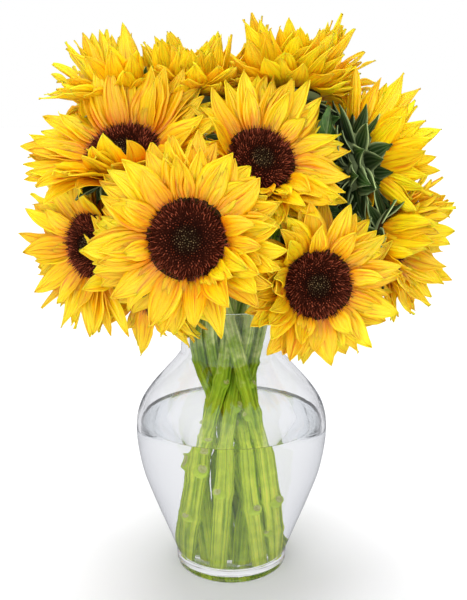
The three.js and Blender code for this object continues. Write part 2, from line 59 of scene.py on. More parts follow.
# The solids' own measures, in millimetres, which the pieces here keep to
VASE_OUTER = [
    (40.2, 0), (42.4, 3), (42.8, 12), (50.0, 31), (60.0, 57), (68.0, 81), (71.8, 107),
    (69.8, 125), (61.5, 140), (41.0, 164), (37.6, 173), (37.5, 194), (39.2, 203.5),
]
RIM_HEIGHT = 206
WALL = 2.6
FLOOR = 8
HOLLOW_FOOT = FLOOR + 8
VASE_SIDES = 28
STEM_LEVELS = [FLOOR + 0.3, 44, 80, 117, 136, 158, 182, RIM_HEIGHT]
WAIST = 130
STEM_SLANT = 1.07
STEM_GAP = 0.7
STEM_ROUNDS = 500
NECK_REACH = 16
SEAT = -3
CALYX_DEPTH = 21
STEPS = 12
PETALS = 24
BRACTS = 12

# The vase's foot, lip and hollow, and the water's foot, as (radius, height)
VASE_FOOT = [
    (0.0, 1.6), (30.0, 1.6), (35.0, 1.1), (38.2, 0.25), (40.4, 0.0), (41.6, 0.6), (42.3, 2.2),
    (42.5, 5.0),
]
VASE_LIP = [(39.25, 205.0), (38.7, 205.8), (38.0, 206.0), (37.2, 205.7), (36.8, 204.6)]
VASE_HOLLOW = [(39.6, 14.5), (38.4, 11.2), (36.0, 9.2), (32.0, 8.2), (0.0, FLOOR)]
WATER_FOOT = [(0.0, FLOOR - 0.15), (32.0, 8.05), (36.1, 9.05), (38.5, 11.1), (39.75, 14.4)]
# How the water climbs the glass: distance from the glass, height above the level
MENISCUS = [(0.0, 1.5), (0.6, 0.7), (1.5, 0.2), (3.0, 0.0)]
WATER_INTO_GLASS = 0.15
# Parts between two points of the vase's outline and of a stem's middle line
BODY_PARTS, STEM_PARTS = 5, 8
STEM_SIDES, STEM_RIDGES = 28, 6

# Length, width and tilt of a bract: the usual ones, and those of the bloom that shows its back
BRACT_SIZE = (27, 11.5, -26)
SHOWY_BRACTS = {"right_side": (31, 15, -6)}
# The blooms whose bracts show, and get three broad curled whorls more
LUSH_BRACTS = ("right_side", "far_right", "upper_middle", "lower_right", "top_right")
FRONT_BRACTS = 16

# The ways in which a blade may have given to its neighbours: tilt in degrees, share of length
PETAL_WAYS = [
    (0, 1), (-9, 1), (9, 1), (-18, 1), (18, 1), (-28, 1), (28, 1), (-40, 1), (40, 1), (0, 0.8),
    (-20, 0.8), (20, 0.8), (-40, 0.75), (40, 0.75), (-55, 0.8), (58, 0.8), (0, 0.55), (-30, 0.5),
    (35, 0.5),
]
BRACT_WAYS = [
    (0, 1), (-12, 1), (-24, 1), (-36, 1), (8, 0.9), (-48, 0.9), (-60, 0.8), (-20, 0.7), (-50, 0.5),
]
LEAF_WAYS = [
    (0, 1), (14, 1), (-14, 1), (26, 1), (-26, 1), (0, 0.8), (20, 0.75), (-20, 0.75), (38, 0.8),
    (-38, 0.8), (0, 0.6),
]
FOUND_WITHIN = 0.0001

# Thickness of bracts and leaves in metres, and the columns and steps of each kind of blade
GREEN_THICKNESS = 0.0006
PETAL_CELLS, BRACT_CELLS, LEAF_CELLS = (10, 14), (6, 10), (12, 28)

# The blooms: seed, centre, face (turn, lift), disc radius, petal (length, width), cup (tilt, curl),
# lean (by, to), stem (radius, give), and where the stem passes the floor, the waist and the rim
BLOOMS = {
    "front": (
        11, (-27, -88, 266), (-95, 8), 25, (39, 16.5), (7, -4), (38, -58),
        (5.4, 0.3), 29 - 13j, 9.5 - 17j, -4 - 25j,
    ),
    "lower_right": (
        23, (57, -62, 232), (-83, 2), 22.6, (35, 15.5), (10, -6), (46, 168),
        (5.2, 0.5), -9 - 27j, -4 - 8j, 14 - 22j,
    ),
    "low_left": (
        37, (-59, -46, 228), (-118, -22), 20, (35, 14.5), (2, -10), (0, 0),
        (5.0, 0.6), 19 - 23j, -4 + 1j, -19 - 19j,
    ),
    "upper_left": (
        41, (-72, -38, 317), (-102, 46), 24, (45, 16.5), (10, -6), (55, -75),
        (5.2, 1), 26 + 4j, -13 - 9j, -20 - 8j,
    ),
    "upper_middle": (
        53, (20, -42, 312), (-72, 30), 22.5, (39, 15.5), (12, -6), (38, -95),
        (5.4, 0.3), -29 - 13j, -15.5 - 18j, -1 - 12j,
    ),
    "left": (
        67, (-97, -30, 253), (-128, 3), 22, (45, 15.5), (4, -4), (0, 0),
        (5.0, 0.5), 12 + 22j, -13 + 3j, -28 - 1j,
    ),
    "far_right": (
        71, (113, -22, 255), (-35, -5), 21, (38, 15), (45, -10), (35, 120),
        (5.0, 1), -25 + 4j, 8 + 12j, 22 + 10j,
    ),
    "right_side": (
        83, (91, 3, 305), (24, 10), 23, (47, 16), (32, -4), (0, 0),
        (5.0, 0.5), -14 + 20j, 10 + 2j, 25 - 3j,
    ),
    "top_middle": (
        97, (-29, 14, 352), (100, 78), 21, (40, 15), (56, -8), (0, 0),
        (4.8, 1), -2 + 10j, -6 + 11j, -9 + 7j,
    ),
    "top_right": (
        101, (40, 16, 356), (80, 76), 22, (48, 15.5), (48, -8), (0, 0),
        (4.8, 1), -12 - 3j, 2 + 6j, 10 + 9j,
    ),
    "top_left": (
        113, (-75, 16, 352), (115, 76), 21, (42, 15), (55, -8), (0, 0),
        (4.8, 1), 22 + 14j, -15 + 14j, -25 + 12j,
    ),
    "back": (
        127, (-4, 85, 262), (92, 12), 24, (40, 16), (9, -5), (0, 0),
        (5.2, 1), 6 - 10j, 3 + 20j, 1 + 25j,
    ),
}

# The leaves: the stem that bears it, place along it above the rim, turn, rise, length and width
LEAVES = [
    ("lower_right", 0.3, -8, -18, 46, 26), ("upper_middle", 0.35, -40, 5, 48, 26),
    ("upper_left", 0.45, -150, -5, 46, 24), ("front", 0.3, -30, -10, 40, 22),
    ("low_left", 0.3, 190, -12, 34, 20), ("right_side", 0.4, -60, -20, 46, 26),
    ("top_left", 0.35, 150, 0, 52, 30), ("top_right", 0.3, 60, 5, 54, 30),
    ("back", 0.35, 150, -8, 52, 30), ("right_side", 0.25, 40, -5, 50, 28),
    ("back", 0.3, 30, -4, 54, 30), ("top_middle", 0.3, 95, 12, 50, 28),
    ("left", 0.45, 120, 4, 48, 27), ("far_right", 0.5, 60, 0, 48, 27),
    ("top_right", 0.6, 20, -12, 44, 26), ("top_left", 0.6, 100, -12, 44, 26),
]
# Small further leaves that fill the gaps between heads: measured as the leaves above, then a twist
SMALL_LEAVES = [
    ("right_side", 0.55, 12, 2, 42, 28, 105), ("right_side", 0.9, -70, 80, 50, 24, 6),
    ("top_right", 0.9, -15, 30, 42, 26, 105),
]

# Further petals between those of the solids: share of the gaps filled, place in the gap, share of
# length and width, tilt in degrees and height
PETAL_WHORLS = [
    (0.95, 0.5, 0.94, 0.92, 0, 0.2), (0.7, 0.25, 0.98, 1.0, -7, -0.9),
    (0.6, 0.4, 0.9, 0.86, 6, 0.5), (0.55, 0.75, 0.74, 0.84, 13, 0.9),
]
# Two petals whose tilts differ by more than this, in degrees, get none between them
TORN_APART = 38
PETAL_ROOT = 1.8

# Outer petals of the blooms that look up, which hide their bracts: tilt in degrees, share of length
SKIRTS = [(34, 0.95), (17, 0.98), (0, 0.84)]
SKIRT_PETALS = 17
UPRIGHT = 60

# Painted light: tone added to the petals of a bloom as it turns away from the front, which
# brightens them and turns them yellower as if lit
LIGHT_PAINTED_ASIDE = 0.28

# Small inner petals that stand or fold over a disc: angle round the head, tilt, curl, twist, all in
# degrees, then share of the bloom's petal length and width
INNER_PETALS = {
    "front": [
        (18, 58, -45, 20, 0.62, 0.85), (-6, 55, -60, -30, 0.66, 0.8),
        (-24, 66, -70, 25, 0.58, 0.8), (-42, 82, -75, -20, 0.52, 0.75),
        (-60, 70, -90, 25, 0.48, 0.75), (-84, 48, -50, 10, 0.5, 0.8),
        (150, 42, -40, 10, 0.66, 0.8), (192, 50, -50, -20, 0.5, 0.75),
    ],
    "upper_left": [
        (-20, 60, -50, 20, 0.6, 0.8), (-48, 75, -60, -15, 0.55, 0.8), (-75, 80, -50, 20, 0.55, 0.8),
        (-100, 70, -60, -20, 0.5, 0.8), (60, 40, -30, 10, 0.6, 0.8),
    ],
    "upper_middle": [
        (-52, 66, -60, 20, 0.56, 0.85), (-78, 74, -70, -15, 0.55, 0.8),
        (-100, 84, -70, 20, 0.55, 0.8), (-128, 65, -50, -10, 0.55, 0.8),
        (170, 50, -40, 10, 0.5, 0.75), (40, 45, -40, 10, 0.55, 0.8),
    ],
    "lower_right": [
        (95, 45, -40, 20, 0.6, 0.8), (60, 40, -40, -20, 0.6, 0.8), (-110, 45, -60, 15, 0.55, 0.8),
        (-140, 40, -40, 10, 0.6, 0.8), (-60, 40, -40, -15, 0.5, 0.8), (10, 36, -30, 10, 0.6, 0.8),
    ],
    "left": [
        (20, 70, -40, 10, 0.6, 0.8), (-30, 60, -50, -20, 0.55, 0.8), (90, 40, -40, 15, 0.6, 0.8),
        (150, 45, -50, -15, 0.5, 0.8),
    ],
    "low_left": [
        (60, 50, -40, 10, 0.6, 0.8), (130, 50, -50, -20, 0.55, 0.8), (-70, 50, -50, 15, 0.55, 0.8),
    ],
    "far_right": [
        (150, 88, -30, 10, 0.62, 0.85), (180, 92, -20, -15, 0.6, 0.85),
        (-150, 84, -30, 20, 0.62, 0.8), (-110, 70, -30, -20, 0.6, 0.8),
        (110, 74, -30, 15, 0.62, 0.85), (60, 66, -40, 20, 0.6, 0.75),
    ],
    "right_side": [
        (120, 60, -40, 20, 0.6, 0.8), (-150, 60, -30, -20, 0.55, 0.8),
        (-125, 60, -8, 10, 0.92, 1.0), (-106, 66, 0, -14, 0.86, 0.95),
    ],
    "back": [
        (10, 60, -50, 20, 0.5, 0.8), (-70, 60, -50, -20, 0.5, 0.8), (140, 45, -40, 15, 0.55, 0.8),
    ],
}

# Knobs where leaves were trimmed, by stem: height, the way it points and its size
STEM_KNOBS = {
    "front": [(128, -150, 1.4), (152, -20, 1.2), (66, -40, 1.5), (40, -130, 1.3)],
    "lower_right": [(133, -35, 1.5), (75, -125, 1.4)],
    "low_left": [(116, -120, 1.6), (62, -60, 1.4)],
    "upper_middle": [(88, -75, 1.6), (52, -130, 1.4), (152, -60, 1.2)],
    "upper_left": [(134, 180, 1.1), (70, -30, 1.3)],
    "left": [(96, 160, 1.3)],
    "right_side": [(104, 15, 1.4), (66, 0, 1.2)],
    "top_left": [(120, 130, 1.0)],
    "top_right": [(84, 200, 1.2)],
    "back": [(100, 80, 1.2)],
    "far_right": [(118, -10, 1.2), (80, 190, 1.3)],
    "top_middle": [(112, 70, 1.0)],
}

# Outlines of the blades, as (share of the width, share of the length)
BRACT_OUTLINE = [
    (0.6, 0), (0.9, 0.12), (1.0, 0.3), (0.93, 0.48), (0.64, 0.68), (0.32, 0.84), (0.03, 1),
]
LEAF_OUTLINE = [
    (0.12, 0), (0.16, 0.083), (0.55, 0.16), (0.88, 0.25), (1.0, 0.4), (0.86, 0.56), (0.52, 0.75),
    (0.24, 0.9), (0.02, 1),
]
LEAF_TEETH = 60
# The top of a disc that the florets stand in, as (height, share of the disc's radius)
CROWN = [(2.4, 0), (4.1, 0.42), (4.2, 0.8), (2.4, 0.96), (0.8, 1.02)]
DISC_INSET = 2

# The stage, in metres and degrees: the floor, the camera and the main lamp
FLOOR_REACH = 6.0
CAMERA_PLACE = (0.0016, -0.6113, 0.3482)
CAMERA_DIP = 12.98
KEY_PLACE, KEY_AIM = Vector((-0.5, -1.1, 0.62)), Vector((0, 0, 0.26))
BOUNCES = 48


class Draws:
    """Seeded draws between -1 and 1."""

    def __init__(self, seed):
        self.state = seed
        self()
        self()

    def __call__(self):
        self.state = self.state * 16807 % 2147483647
        return 2 * self.state / 2147483647 - 1


def level_way(turn):
    """A level direction by its turn in degrees."""
    return Vector((math.cos(math.radians(turn)), math.sin(math.radians(turn)), 0))


class Seat:
    """What a blade stands on: a centre and the axes round it."""

    def point(self, angle, radius, height):
        """A place by its angle round the axis, its radius and its height along the axis."""
        return self.centre + self.out(angle) * radius + self.n * height

    def out(self, angle):
        """The way out from the axis at an angle."""
        return self.right * math.cos(angle) + self.up * math.sin(angle)


class Head(Seat):
    """A bloom's measures, its axes and its stem's middle line."""

    def __init__(self, name, path):
        self.name = name
        self.seed, centre, face, self.disc, self.petal, self.cup, self.lean, stem, *_ = BLOOMS[name]
        self.stem = stem[0]
        self.upright = face[1] > UPRIGHT
        turn, lift = map(math.radians, face)
        flat = math.cos(lift)
        self.n = Vector((flat * math.cos(turn), flat * math.sin(turn), math.sin(lift)))
        self.right = Z.cross(self.n).normalized()
        self.up = self.n.cross(self.right)
        self.centre = Vector(centre)
        self.points, self.curve = stem_line(self, path)


class LeafSeat(Seat):
    """Where a leaf leaves its stem."""

    def __init__(self, head, at, turn):
        self.centre = bezier(head.curve, at)
        self.n = Z
        self.right = level_way(turn)
        self.up = Z.cross(self.right)


def read_off(rows, at):
    """A value read off rows of (value, place), straight between them."""
    for (a, low), (b, high) in zip(rows, rows[1:]):
        if at <= high:
            return a + (b - a) * (at - low) / (high - low)
    return rows[-1][0]


def inner_radius(height):
    """Inside radius of the glass at a height."""
    return read_off(VASE_OUTER, height) - WALL


def aimed(bloom, z):
    """Where a stem is aimed at a height below the rim, as a number x + y j."""
    foot, waist, rim = bloom[8:]
    if z < WAIST:
        return foot + (waist - foot) * ((z - FLOOR) / (WAIST - FLOOR))
    return waist + (rim - waist) * ((z - WAIST) / (RIM_HEIGHT - WAIST))


def laid_stems():
    """The stems' middle lines below the rim, laid side by side as in the solids."""
    stems = [(bloom[7], [aimed(bloom, z) for z in STEM_LEVELS]) for bloom in BLOOMS.values()]
    last = len(STEM_LEVELS) - 1
    for turn in range(STEM_ROUNDS):
        easing = 0.06 if turn < STEM_ROUNDS * 0.7 else 0
        for ((ri, mi), a), ((rj, mj), b) in combinations(stems, 2):
            need = (ri + rj) * STEM_SLANT + STEM_GAP
            for level in range(last + 1):
                k = min(level + 1, last)
                for f in (0,) if level == last else (0, 0.25, 0.5, 0.75):
                    gap = a[level] + (a[k] - a[level]) * f - b[level] - (b[k] - b[level]) * f
                    apart = math.hypot(gap.real, gap.imag) + 1e-9
                    if apart >= need:
                        continue
                    push = 0.5 * (need - apart) / apart / (mi + mj)
                    for at, share in ((level, 1 - f), (k, f)):
                        a[at] += gap * push * mi * share
                        b[at] -= gap * push * mj * share
        for (radius, _give), path in stems:
            for level in range(1, last):
                path[level] += easing * ((path[level - 1] + path[level + 1]) / 2 - path[level])
            for level, z in enumerate(STEM_LEVELS):
                above = min(z + NECK_REACH, RIM_HEIGHT)
                walls = inner_radius(z), inner_radius(above)
                wall = walls[0] - 1.2 if level == 0 else min(walls)
                most = wall * math.cos(math.pi / VASE_SIDES) - radius * STEM_SLANT - 0.6
                out = math.hypot(path[level].real, path[level].imag)
                if out > most:
                    path[level] = path[level] * most / out
    return [path for _stem, path in stems]


def bezier(curve, t):
    """A point of a curve of four control points."""
    a, b, c, d = curve
    s = 1 - t
    return a * s**3 + b * (3 * s * s * t) + c * (3 * s * t * t) + d * t**3


def stem_line(head, path):
    """A stem's middle line from its foot into the calyx, and its curve above the rim."""
    points = [Vector((at.real, at.imag, z)) for at, z in zip(path, STEM_LEVELS)]
    rim = points[-1]
    climb = (rim - points[-2]).normalized()
    end = head.centre + head.n * (SEAT - CALYX_DEPTH + 4)
    reach = (rim - end).length * 0.42
    curve = (rim, rim + climb * reach, end - head.n * reach, end)
    return points + [bezier(curve, t) for t in (0.25, 0.5, 0.75, 1)], curve


@lru_cache(maxsize=None)
def heads():
    """Every bloom by name."""
    return {name: Head(name, path) for name, path in zip(BLOOMS, laid_stems())}


def blade(angle, radius, height, length, tilt, curl, swerve, twist, width=0):
    """A blade's measures. Its angle round the seat is in radians, and its bends are in degrees."""
    bends = {"tilt": tilt, "curl": curl, "swerve": swerve, "twist": twist}
    made = {"angle": angle, "radius": radius, "height": height, "length": length, "width": width}
    return made | {key: math.radians(bend) for key, bend in bends.items()}


def bent(made, **bends):
    """Bends a blade further, by degrees."""
    for key, bend in bends.items():
        made[key] += math.radians(bend)


def blade_rows(seat, made):
    """Middle line and cross directions of a blade: a list of (point, side, normal)."""
    radial = seat.out(made["angle"])
    around = seat.n.cross(radial)
    point = seat.point(made["angle"], made["radius"], made["height"])
    rows = []
    for i in range(STEPS + 1):
        s = i / STEPS
        lift = made["tilt"] + made["curl"] * s
        turn = made["swerve"] * s
        flat = radial * math.cos(turn) + around * math.sin(turn)
        along = flat * math.cos(lift) + seat.n * math.sin(lift)
        back = flat * -math.sin(lift) + seat.n * math.cos(lift)
        across = back.cross(along)
        roll = made["twist"] * s
        side = across * math.cos(roll) + back * math.sin(roll)
        normal = back * math.cos(roll) - across * math.sin(roll)
        rows.append((point.copy(), side, normal))
        point += along * (made["length"] / STEPS)
    return rows


def petals_of(head):
    """The petals of the solids before any of them gave way."""
    draw = Draws(head.seed)
    length, width = head.petal
    tilt, curl = head.cup
    lean_by, lean_to = head.lean
    petals = []
    for i in range(PETALS):
        angle = 2 * math.pi * (i + 0.5 + 0.1 * draw()) / PETALS
        lean = lean_by * max(0, math.cos(angle - math.radians(lean_to))) ** 2
        share, lift = (0.97, 7) if i % 2 == 0 else (1.03, -7)
        petals.append(
            blade(
                angle, head.disc + 0.2, -0.7, length * (1 + 0.09 * draw()) * share,
                tilt + lean + lift + 4 * draw(), curl + 9 * draw(), 9 * draw(), 9 * draw(),
                width * (1 + 0.1 * draw()),
            )
        )
    return petals


def bracts_of(head):
    """The bracts of the solids before any of them gave way."""
    draw = Draws(head.seed + 7)
    length, width, tilt = SHOWY_BRACTS.get(head.name, BRACT_SIZE)
    return [
        blade(
            2 * math.pi * (i + 0.5 + 0.08 * draw()) / BRACTS, head.disc - 6, -5.8,
            length + 3 * draw(), tilt + 4 * draw(), 4 + 12 * draw(), 12 * draw(), 0, width + draw(),
        )
        for i in range(BRACTS)
    ]


def corners(name):
    """A tree of a solid's corners, in which the tip of a standing blade is looked up."""
    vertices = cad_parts[name].data.vertices
    tree = KDTree(len(vertices))
    for i, vertex in enumerate(vertices):
        tree.insert(vertex.co, i)
    tree.balance()
    return tree


def standing(seat, made, ways, tree):
    """The blade as it stands in the solids, or None where there was no room for it."""
    best, nearest = None, FOUND_WITHIN
    for tilt, share in ways:
        given = dict(made, tilt=made["tilt"] + math.radians(tilt), length=made["length"] * share)
        apart = tree.find(blade_rows(seat, given)[-1][0] * MM)[2]
        if apart < nearest:
            best, nearest = given, apart
    return best


def blank_mesh():
    """An empty mesh with the layers that the materials read."""
    bm = bmesh.new()
    bm.loops.layers.uv.new("UVMap")
    bm.verts.layers.float.new("tone")
    return bm


def grown(bm, seat, made, cells, tone, shape):
    """Adds one blade to a mesh: a sheet whose columns run along it. shape gives the offset to the
    side and the height above the middle line at (across -1 to 1, along 0 to 1), in millimetres."""
    rows = blade_rows(seat, made)
    tones = bm.verts.layers.float["tone"]
    columns, segments = cells
    sheet = bmesh.ops.create_grid(
        bm, x_segments=columns, y_segments=segments, size=1.0, calc_uvs=True
    )
    for vertex in sheet["verts"]:
        u, s = vertex.co.x, (vertex.co.y + 1) / 2
        place = min(max(s, 0), 1) * STEPS
        i = min(int(place), STEPS - 1)
        point, side, normal = (a.lerp(b, place - i) for a, b in zip(rows[i], rows[i + 1]))
        out, height = shape(u, s)
        vertex.co = (point + side * out + normal * height) * MM
        vertex[tones] = tone


def tube(bm, points, radius, sides, tone, ridge, ridges):
    """Adds a closed ridged tube along points. radius gives the radius at a share of its length."""
    tones = bm.verts.layers.float["tone"]
    last = len(points) - 1
    side = X
    rings = []
    for i, point in enumerate(points):
        along = (points[min(i + 1, last)] - points[max(i - 1, 0)]).normalized() if i else Z
        side = (side - along * side.dot(along)).normalized()
        rings.append((point, side, along.cross(side)))
    made = bmesh.ops.create_grid(bm, x_segments=sides, y_segments=last, size=1.0, calc_uvs=True)
    for vertex in made["verts"]:
        turn = math.pi * (vertex.co.x + 1)
        i = round((vertex.co.y + 1) / 2 * last)
        point, right, other = rings[i]
        r = radius(i / last) * (1 + ridge * math.cos(ridges * turn + 3 * i / last))
        vertex.co = (point + right * (math.cos(turn) * r) + other * (math.sin(turn) * r)) * MM
        vertex[tones] = tone
    bmesh.ops.remove_doubles(bm, verts=made["verts"], dist=1e-6)
    bmesh.ops.holes_fill(bm, edges=[edge for edge in bm.edges if edge.is_boundary], sides=0)


def smooth_line(points, parts):
    """A smooth line through points, with so many parts between each two."""
    line = []
    last = len(points) - 1
    for i in range(last):
        before, after = points[max(i - 1, 0)], points[min(i + 2, last)]
        a, b = points[i], points[i + 1]
        into, out = (b - before) * 0.5, (after - a) * 0.5
        for k in range(parts):
            t = k / parts
            line.append(
                a * (2 * t**3 - 3 * t * t + 1)
                + into * (t**3 - 2 * t * t + t)
                + b * (3 * t * t - 2 * t**3)
                + out * (t**3 - t * t)
            )
    line.append(points[last])
    return line


def turned(bm, profile, steps, seat=None, tone=0.5, material=0):
    """Adds a closed shape turned round an axis, or the vase's own, from its (radius, height)s."""
    centre, axis, out = (seat.centre, seat.n, seat.right) if seat else (Vector(), Z, X)
    tones = bm.verts.layers.float["tone"]
    old = set(bm.faces)
    verts = []
    for r, h in profile:
        vertex = bm.verts.new((centre + out * r + axis * h) * MM)
        vertex[tones] = tone
        verts.append(vertex)
    edges = [bm.edges.new(pair) for pair in zip(verts, verts[1:])]
    bmesh.ops.spin(
        bm,
        geom=verts + edges,
        cent=centre * MM,
        axis=axis,
        angle=2 * math.pi,
        steps=steps,
        use_merge=True,
    )
    fresh = [face for face in bm.faces if face not in old]
    for face in fresh:
        face.material_index = material
    seams = list({vertex: None for face in fresh for vertex in face.verts})
    bmesh.ops.remove_doubles(bm, verts=seams, dist=2e-6)


def placed(name, data):
    """A new object in the scene."""
    made = bpy.data.objects.new(name, data)
    bpy.context.scene.collection.objects.link(made)
    return made


def piece(name, bm, looks, replaced=(), thickness=0.0, smooth=True):
    """Makes a finished object of a mesh and fits it into the frame. A mesh with a thickness is of
    open blades, which a modifier thickens."""
    if not thickness:
        bmesh.ops.recalc_face_normals(bm, faces=bm.faces)
    mesh = bpy.data.meshes.new(name)
    bm.to_mesh(mesh)
    bm.free()
    if smooth:
        mesh.shade_smooth()
    made = placed(name, mesh)
    for look in looks:
        mesh.materials.append(coat(look))
    if thickness:
        shell = made.modifiers.new("thickness", "SOLIDIFY")
        shell.thickness = thickness
        shell.offset = -1.0
        shell.use_even_offset = False
    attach(made, "root")
    if replaced:
        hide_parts(*replaced)


# Materials


def arithmetic(operation, swapped=False):
    """A method that works a field and another value in a math node."""

    def work(self, other):
        a, b = (other, self) if swapped else (self, other)
        return node(self.tree, "ShaderNodeMath", {0: a, 1: b}, operation=operation)

    return work


class Field:
    """A value or a colour in a node tree, which can be worked with as a number can."""

    __add__, __radd__ = arithmetic("ADD"), arithmetic("ADD", swapped=True)
    __sub__, __rsub__ = arithmetic("SUBTRACT"), arithmetic("SUBTRACT", swapped=True)
    __mul__, __rtruediv__ = arithmetic("MULTIPLY"), arithmetic("DIVIDE", swapped=True)
    __pow__, larger = arithmetic("POWER"), arithmetic("MAXIMUM")

    def __init__(self, tree, socket):
        self.tree = tree
        self.socket = socket

    def __abs__(self):
        return node(self.tree, "ShaderNodeMath", {0: self}, operation="ABSOLUTE")

    def fraction(self):
        """What is left of this value above a whole number."""
        return node(self.tree, "ShaderNodeMath", {0: self}, operation="FRACT")

    def of(self, key):
        """Another output of the same node."""
        return Field(self.tree, self.socket.node.outputs[key])

    def ramp(self, *stops):
        """A colour ramp with the given stops of (place, colour), fed by this value."""
        made = node(self.tree, "ShaderNodeValToRGB", {"Fac": self})
        elements = made.socket.node.color_ramp.elements
        for element, (place, colour) in zip(elements, (stops[0], stops[-1])):
            element.position, element.color = place, rgba(colour)
        for place, colour in stops[1:-1]:
            elements.new(place).color = rgba(colour)
        return made

    def mixed(self, share, other, kind="MIX"):
        """This colour with a share of another mixed in."""
        inputs = {0: share, 6: self, 7: other}
        return node(self.tree, "ShaderNodeMix", inputs, 2, data_type="RGBA", blend_type=kind)

    def tinted(self, share, other):
        """This colour multiplied by another, by a share."""
        return self.mixed(share, other, "MULTIPLY")

    def bump(self, distance, strength=1.0):
        """The normal that this height gives a surface, with its distance in millimetres."""
        inputs = {"Height": self, "Strength": strength, "Distance": distance * MM}
        return node(self.tree, "ShaderNodeBump", inputs)


def rgba(colour):
    """A colour with its alpha. A single number stands for a grey."""
    return (*((colour,) * 3 if isinstance(colour, float) else colour), 1)


def fed(tree, socket, value):
    """Feeds an input with a field, a colour or a number."""
    if isinstance(value, Field):
        tree.links.new(value.socket, socket)
    else:
        socket.default_value = rgba(value) if socket.type == "RGBA" else value


def node(tree, kind, inputs=(), output=0, **settings):
    """A node with its settings and with its inputs fed, by name or number. Gives one output."""
    made = tree.nodes.new(kind)
    for key, value in settings.items():
        setattr(made, key, value)
    for key, value in dict(inputs).items():
        fed(tree, made.inputs[key], value)
    return Field(tree, made.outputs[output]) if made.outputs else None


def new_group(name, inputs, outputs):
    """A new node group, the fields of its inputs, and its output node. An input without a default
    is a vector."""
    group = bpy.data.node_groups.new(name, "ShaderNodeTree")
    for key, default in inputs.items():
        kind = "NodeSocketVector" if default is None else "NodeSocketFloat"
        socket = group.interface.new_socket(key, in_out="INPUT", socket_type=kind)
        if default is not None:
            socket.default_value = default
    for key in outputs:
        group.interface.new_socket(key, in_out="OUTPUT", socket_type="NodeSocketFloat")
    into = group.nodes.new("NodeGroupInput")
    fields = [Field(group, into.outputs[key]) for key in inputs]
    return group, fields, group.nodes.new("NodeGroupOutput")


def parts_of(vector):
    """The three parts of a vector."""
    x = node(vector.tree, "ShaderNodeSeparateXYZ", {0: vector})
    return x, x.of(1), x.of(2)


@lru_cache(maxsize=None)
def ribs_group():
    """Ribs that run along a blade or a stem by its UV map: their mask, groove and height."""
    inputs = {"UV": None, "Ribs": 5.0, "Wander": 1.5, "Along": 1.0}
    group, (uv, ribs, wander, stretch), out = new_group(
        "plant_ribs", inputs, ("Mask", "Groove", "Height")
    )
    across, along, _ = parts_of(uv)
    place = node(group, "ShaderNodeCombineXYZ", {0: across * ribs, 1: along * stretch})
    looks = {"Vector": place, "Distortion": wander, "Scale": 0.314}
    looks |= {"Detail": 2.0, "Detail Scale": 1.5}
    wave = node(group, "ShaderNodeTexWave", looks, "Fac", wave_type="BANDS", bands_direction="X")
    fine = node(group, "ShaderNodeTexNoise", {"Vector": place, "Scale": 5.0, "Detail": 3.0})
    fed(group, out.inputs["Mask"], (1.0 - wave) ** 3.0)
    fed(group, out.inputs["Groove"], wave**2.5)
    fed(group, out.inputs["Height"], wave * 0.8 + fine * 0.35)
    return group


@lru_cache(maxsize=None)
def mottle_group():
    """Soft blotches through the whole thing, in the object's own space: a value about one half."""
    group, (size,), out = new_group("plant_mottle", {"Size": 8.0}, ("Value",))
    place = node(group, "ShaderNodeTexCoord", output="Object")
    looks = {"Vector": place, "Scale": 1000.0 / size, "Detail": 4.0, "Roughness": 0.6}
    fed(group, out.inputs["Value"], node(group, "ShaderNodeTexNoise", looks))
    return group


def mottle(tree, size):
    """Blotches of a size in millimetres."""
    return node(tree, "ShaderNodeGroup", {"Size": size}, node_tree=mottle_group())


def ribs_on(uv, ribs, wander, along):
    """So many ribs across a UV map: their mask, with their groove and height beside it."""
    inputs = {"UV": uv, "Ribs": ribs, "Wander": wander, "Along": along}
    return node(uv.tree, "ShaderNodeGroup", inputs, node_tree=ribs_group())


def strands(across, along, tone, detail, roughness):
    """Noise over a blade or a stem, finer across than along, which its tone makes its own."""
    place = node(across.tree, "ShaderNodeCombineXYZ", {0: across, 1: along, 2: tone})
    looks = {"Vector": place, "Scale": 1.0, "Detail": detail, "Roughness": roughness}
    return node(across.tree, "ShaderNodeTexNoise", looks)


def uv_map(tree):
    """The UV map, and its parts across and along."""
    uv = node(tree, "ShaderNodeUVMap", uv_map="UVMap")
    return uv, *parts_of(uv)[:2]


def tone_of(tree):
    """The tone that each blade was given."""
    return node(tree, "ShaderNodeAttribute", output="Fac", attribute_name="tone")


def petal_look(tree):
    """Golden petal: orange at its root, deepened there as painted shade, yellow towards its tip,
    with fine lengthwise ribs, painted shade along them and painted dark lines of shade in its
    creases.
    """
    looks = bpy.context.scene.sunflower_blooms
    uv, across, along = uv_map(tree)
    tone, blotch = tone_of(tree), mottle(tree, 14.0)
    ribs = ribs_on(uv, 5.0, 2.6, 1.1)
    folds = strands(across * 11.0, along * 1.5, tone * 23.0, 2.0, 0.55)
    root, gold = looks.root_and_shade_colour, looks.petal_colour
    half = tuple((a + b) / 2 for a, b in zip(root, gold))
    reach = along + (blotch - 0.5) * 0.45
    # The orange root is the petal's own colour, made a deeper orange as painted shade where the
    # petals meet the disc.
    colour = reach.ramp((0.03, root), (0.22, half), (0.46, gold), (0.88, looks.tip_colour))
    weight = 0.5 - along * 0.34
    # Painted shade along the grooves of the ribs.
    ribbed = colour.tinted(ribs * weight, looks.rib_colour)
    # Painted shade: dark orange lines where the petal's creases dip, as shade would fall in them.
    crease_shade = folds.ramp((0.3, 1.0), (0.45, 0.0)) * (weight + 0.48)
    lined = ribbed.mixed(crease_shade, (0.64, 0.17, 0.002))
    # Tone varies each petal's hue and brightness at random, and carries the painted light of blooms
    # turned away.
    shift = {"Hue": 0.484 + tone * 0.02, "Value": 0.92 + tone * 0.16, "Color": lined}
    return {
        "Base Color": node(tree, "ShaderNodeHueSaturation", shift),
        "Roughness": 0.3 + blotch * 0.2,
        "Specular IOR Level": 0.38,
        "Subsurface Weight": 0.5,
        "Subsurface Radius": (1.0, 0.42, 0.05),
        "Subsurface Scale": 0.003,
        "Normal": (ribs.of("Height") * 0.5 + folds * 1.6).bump(0.75),
    }


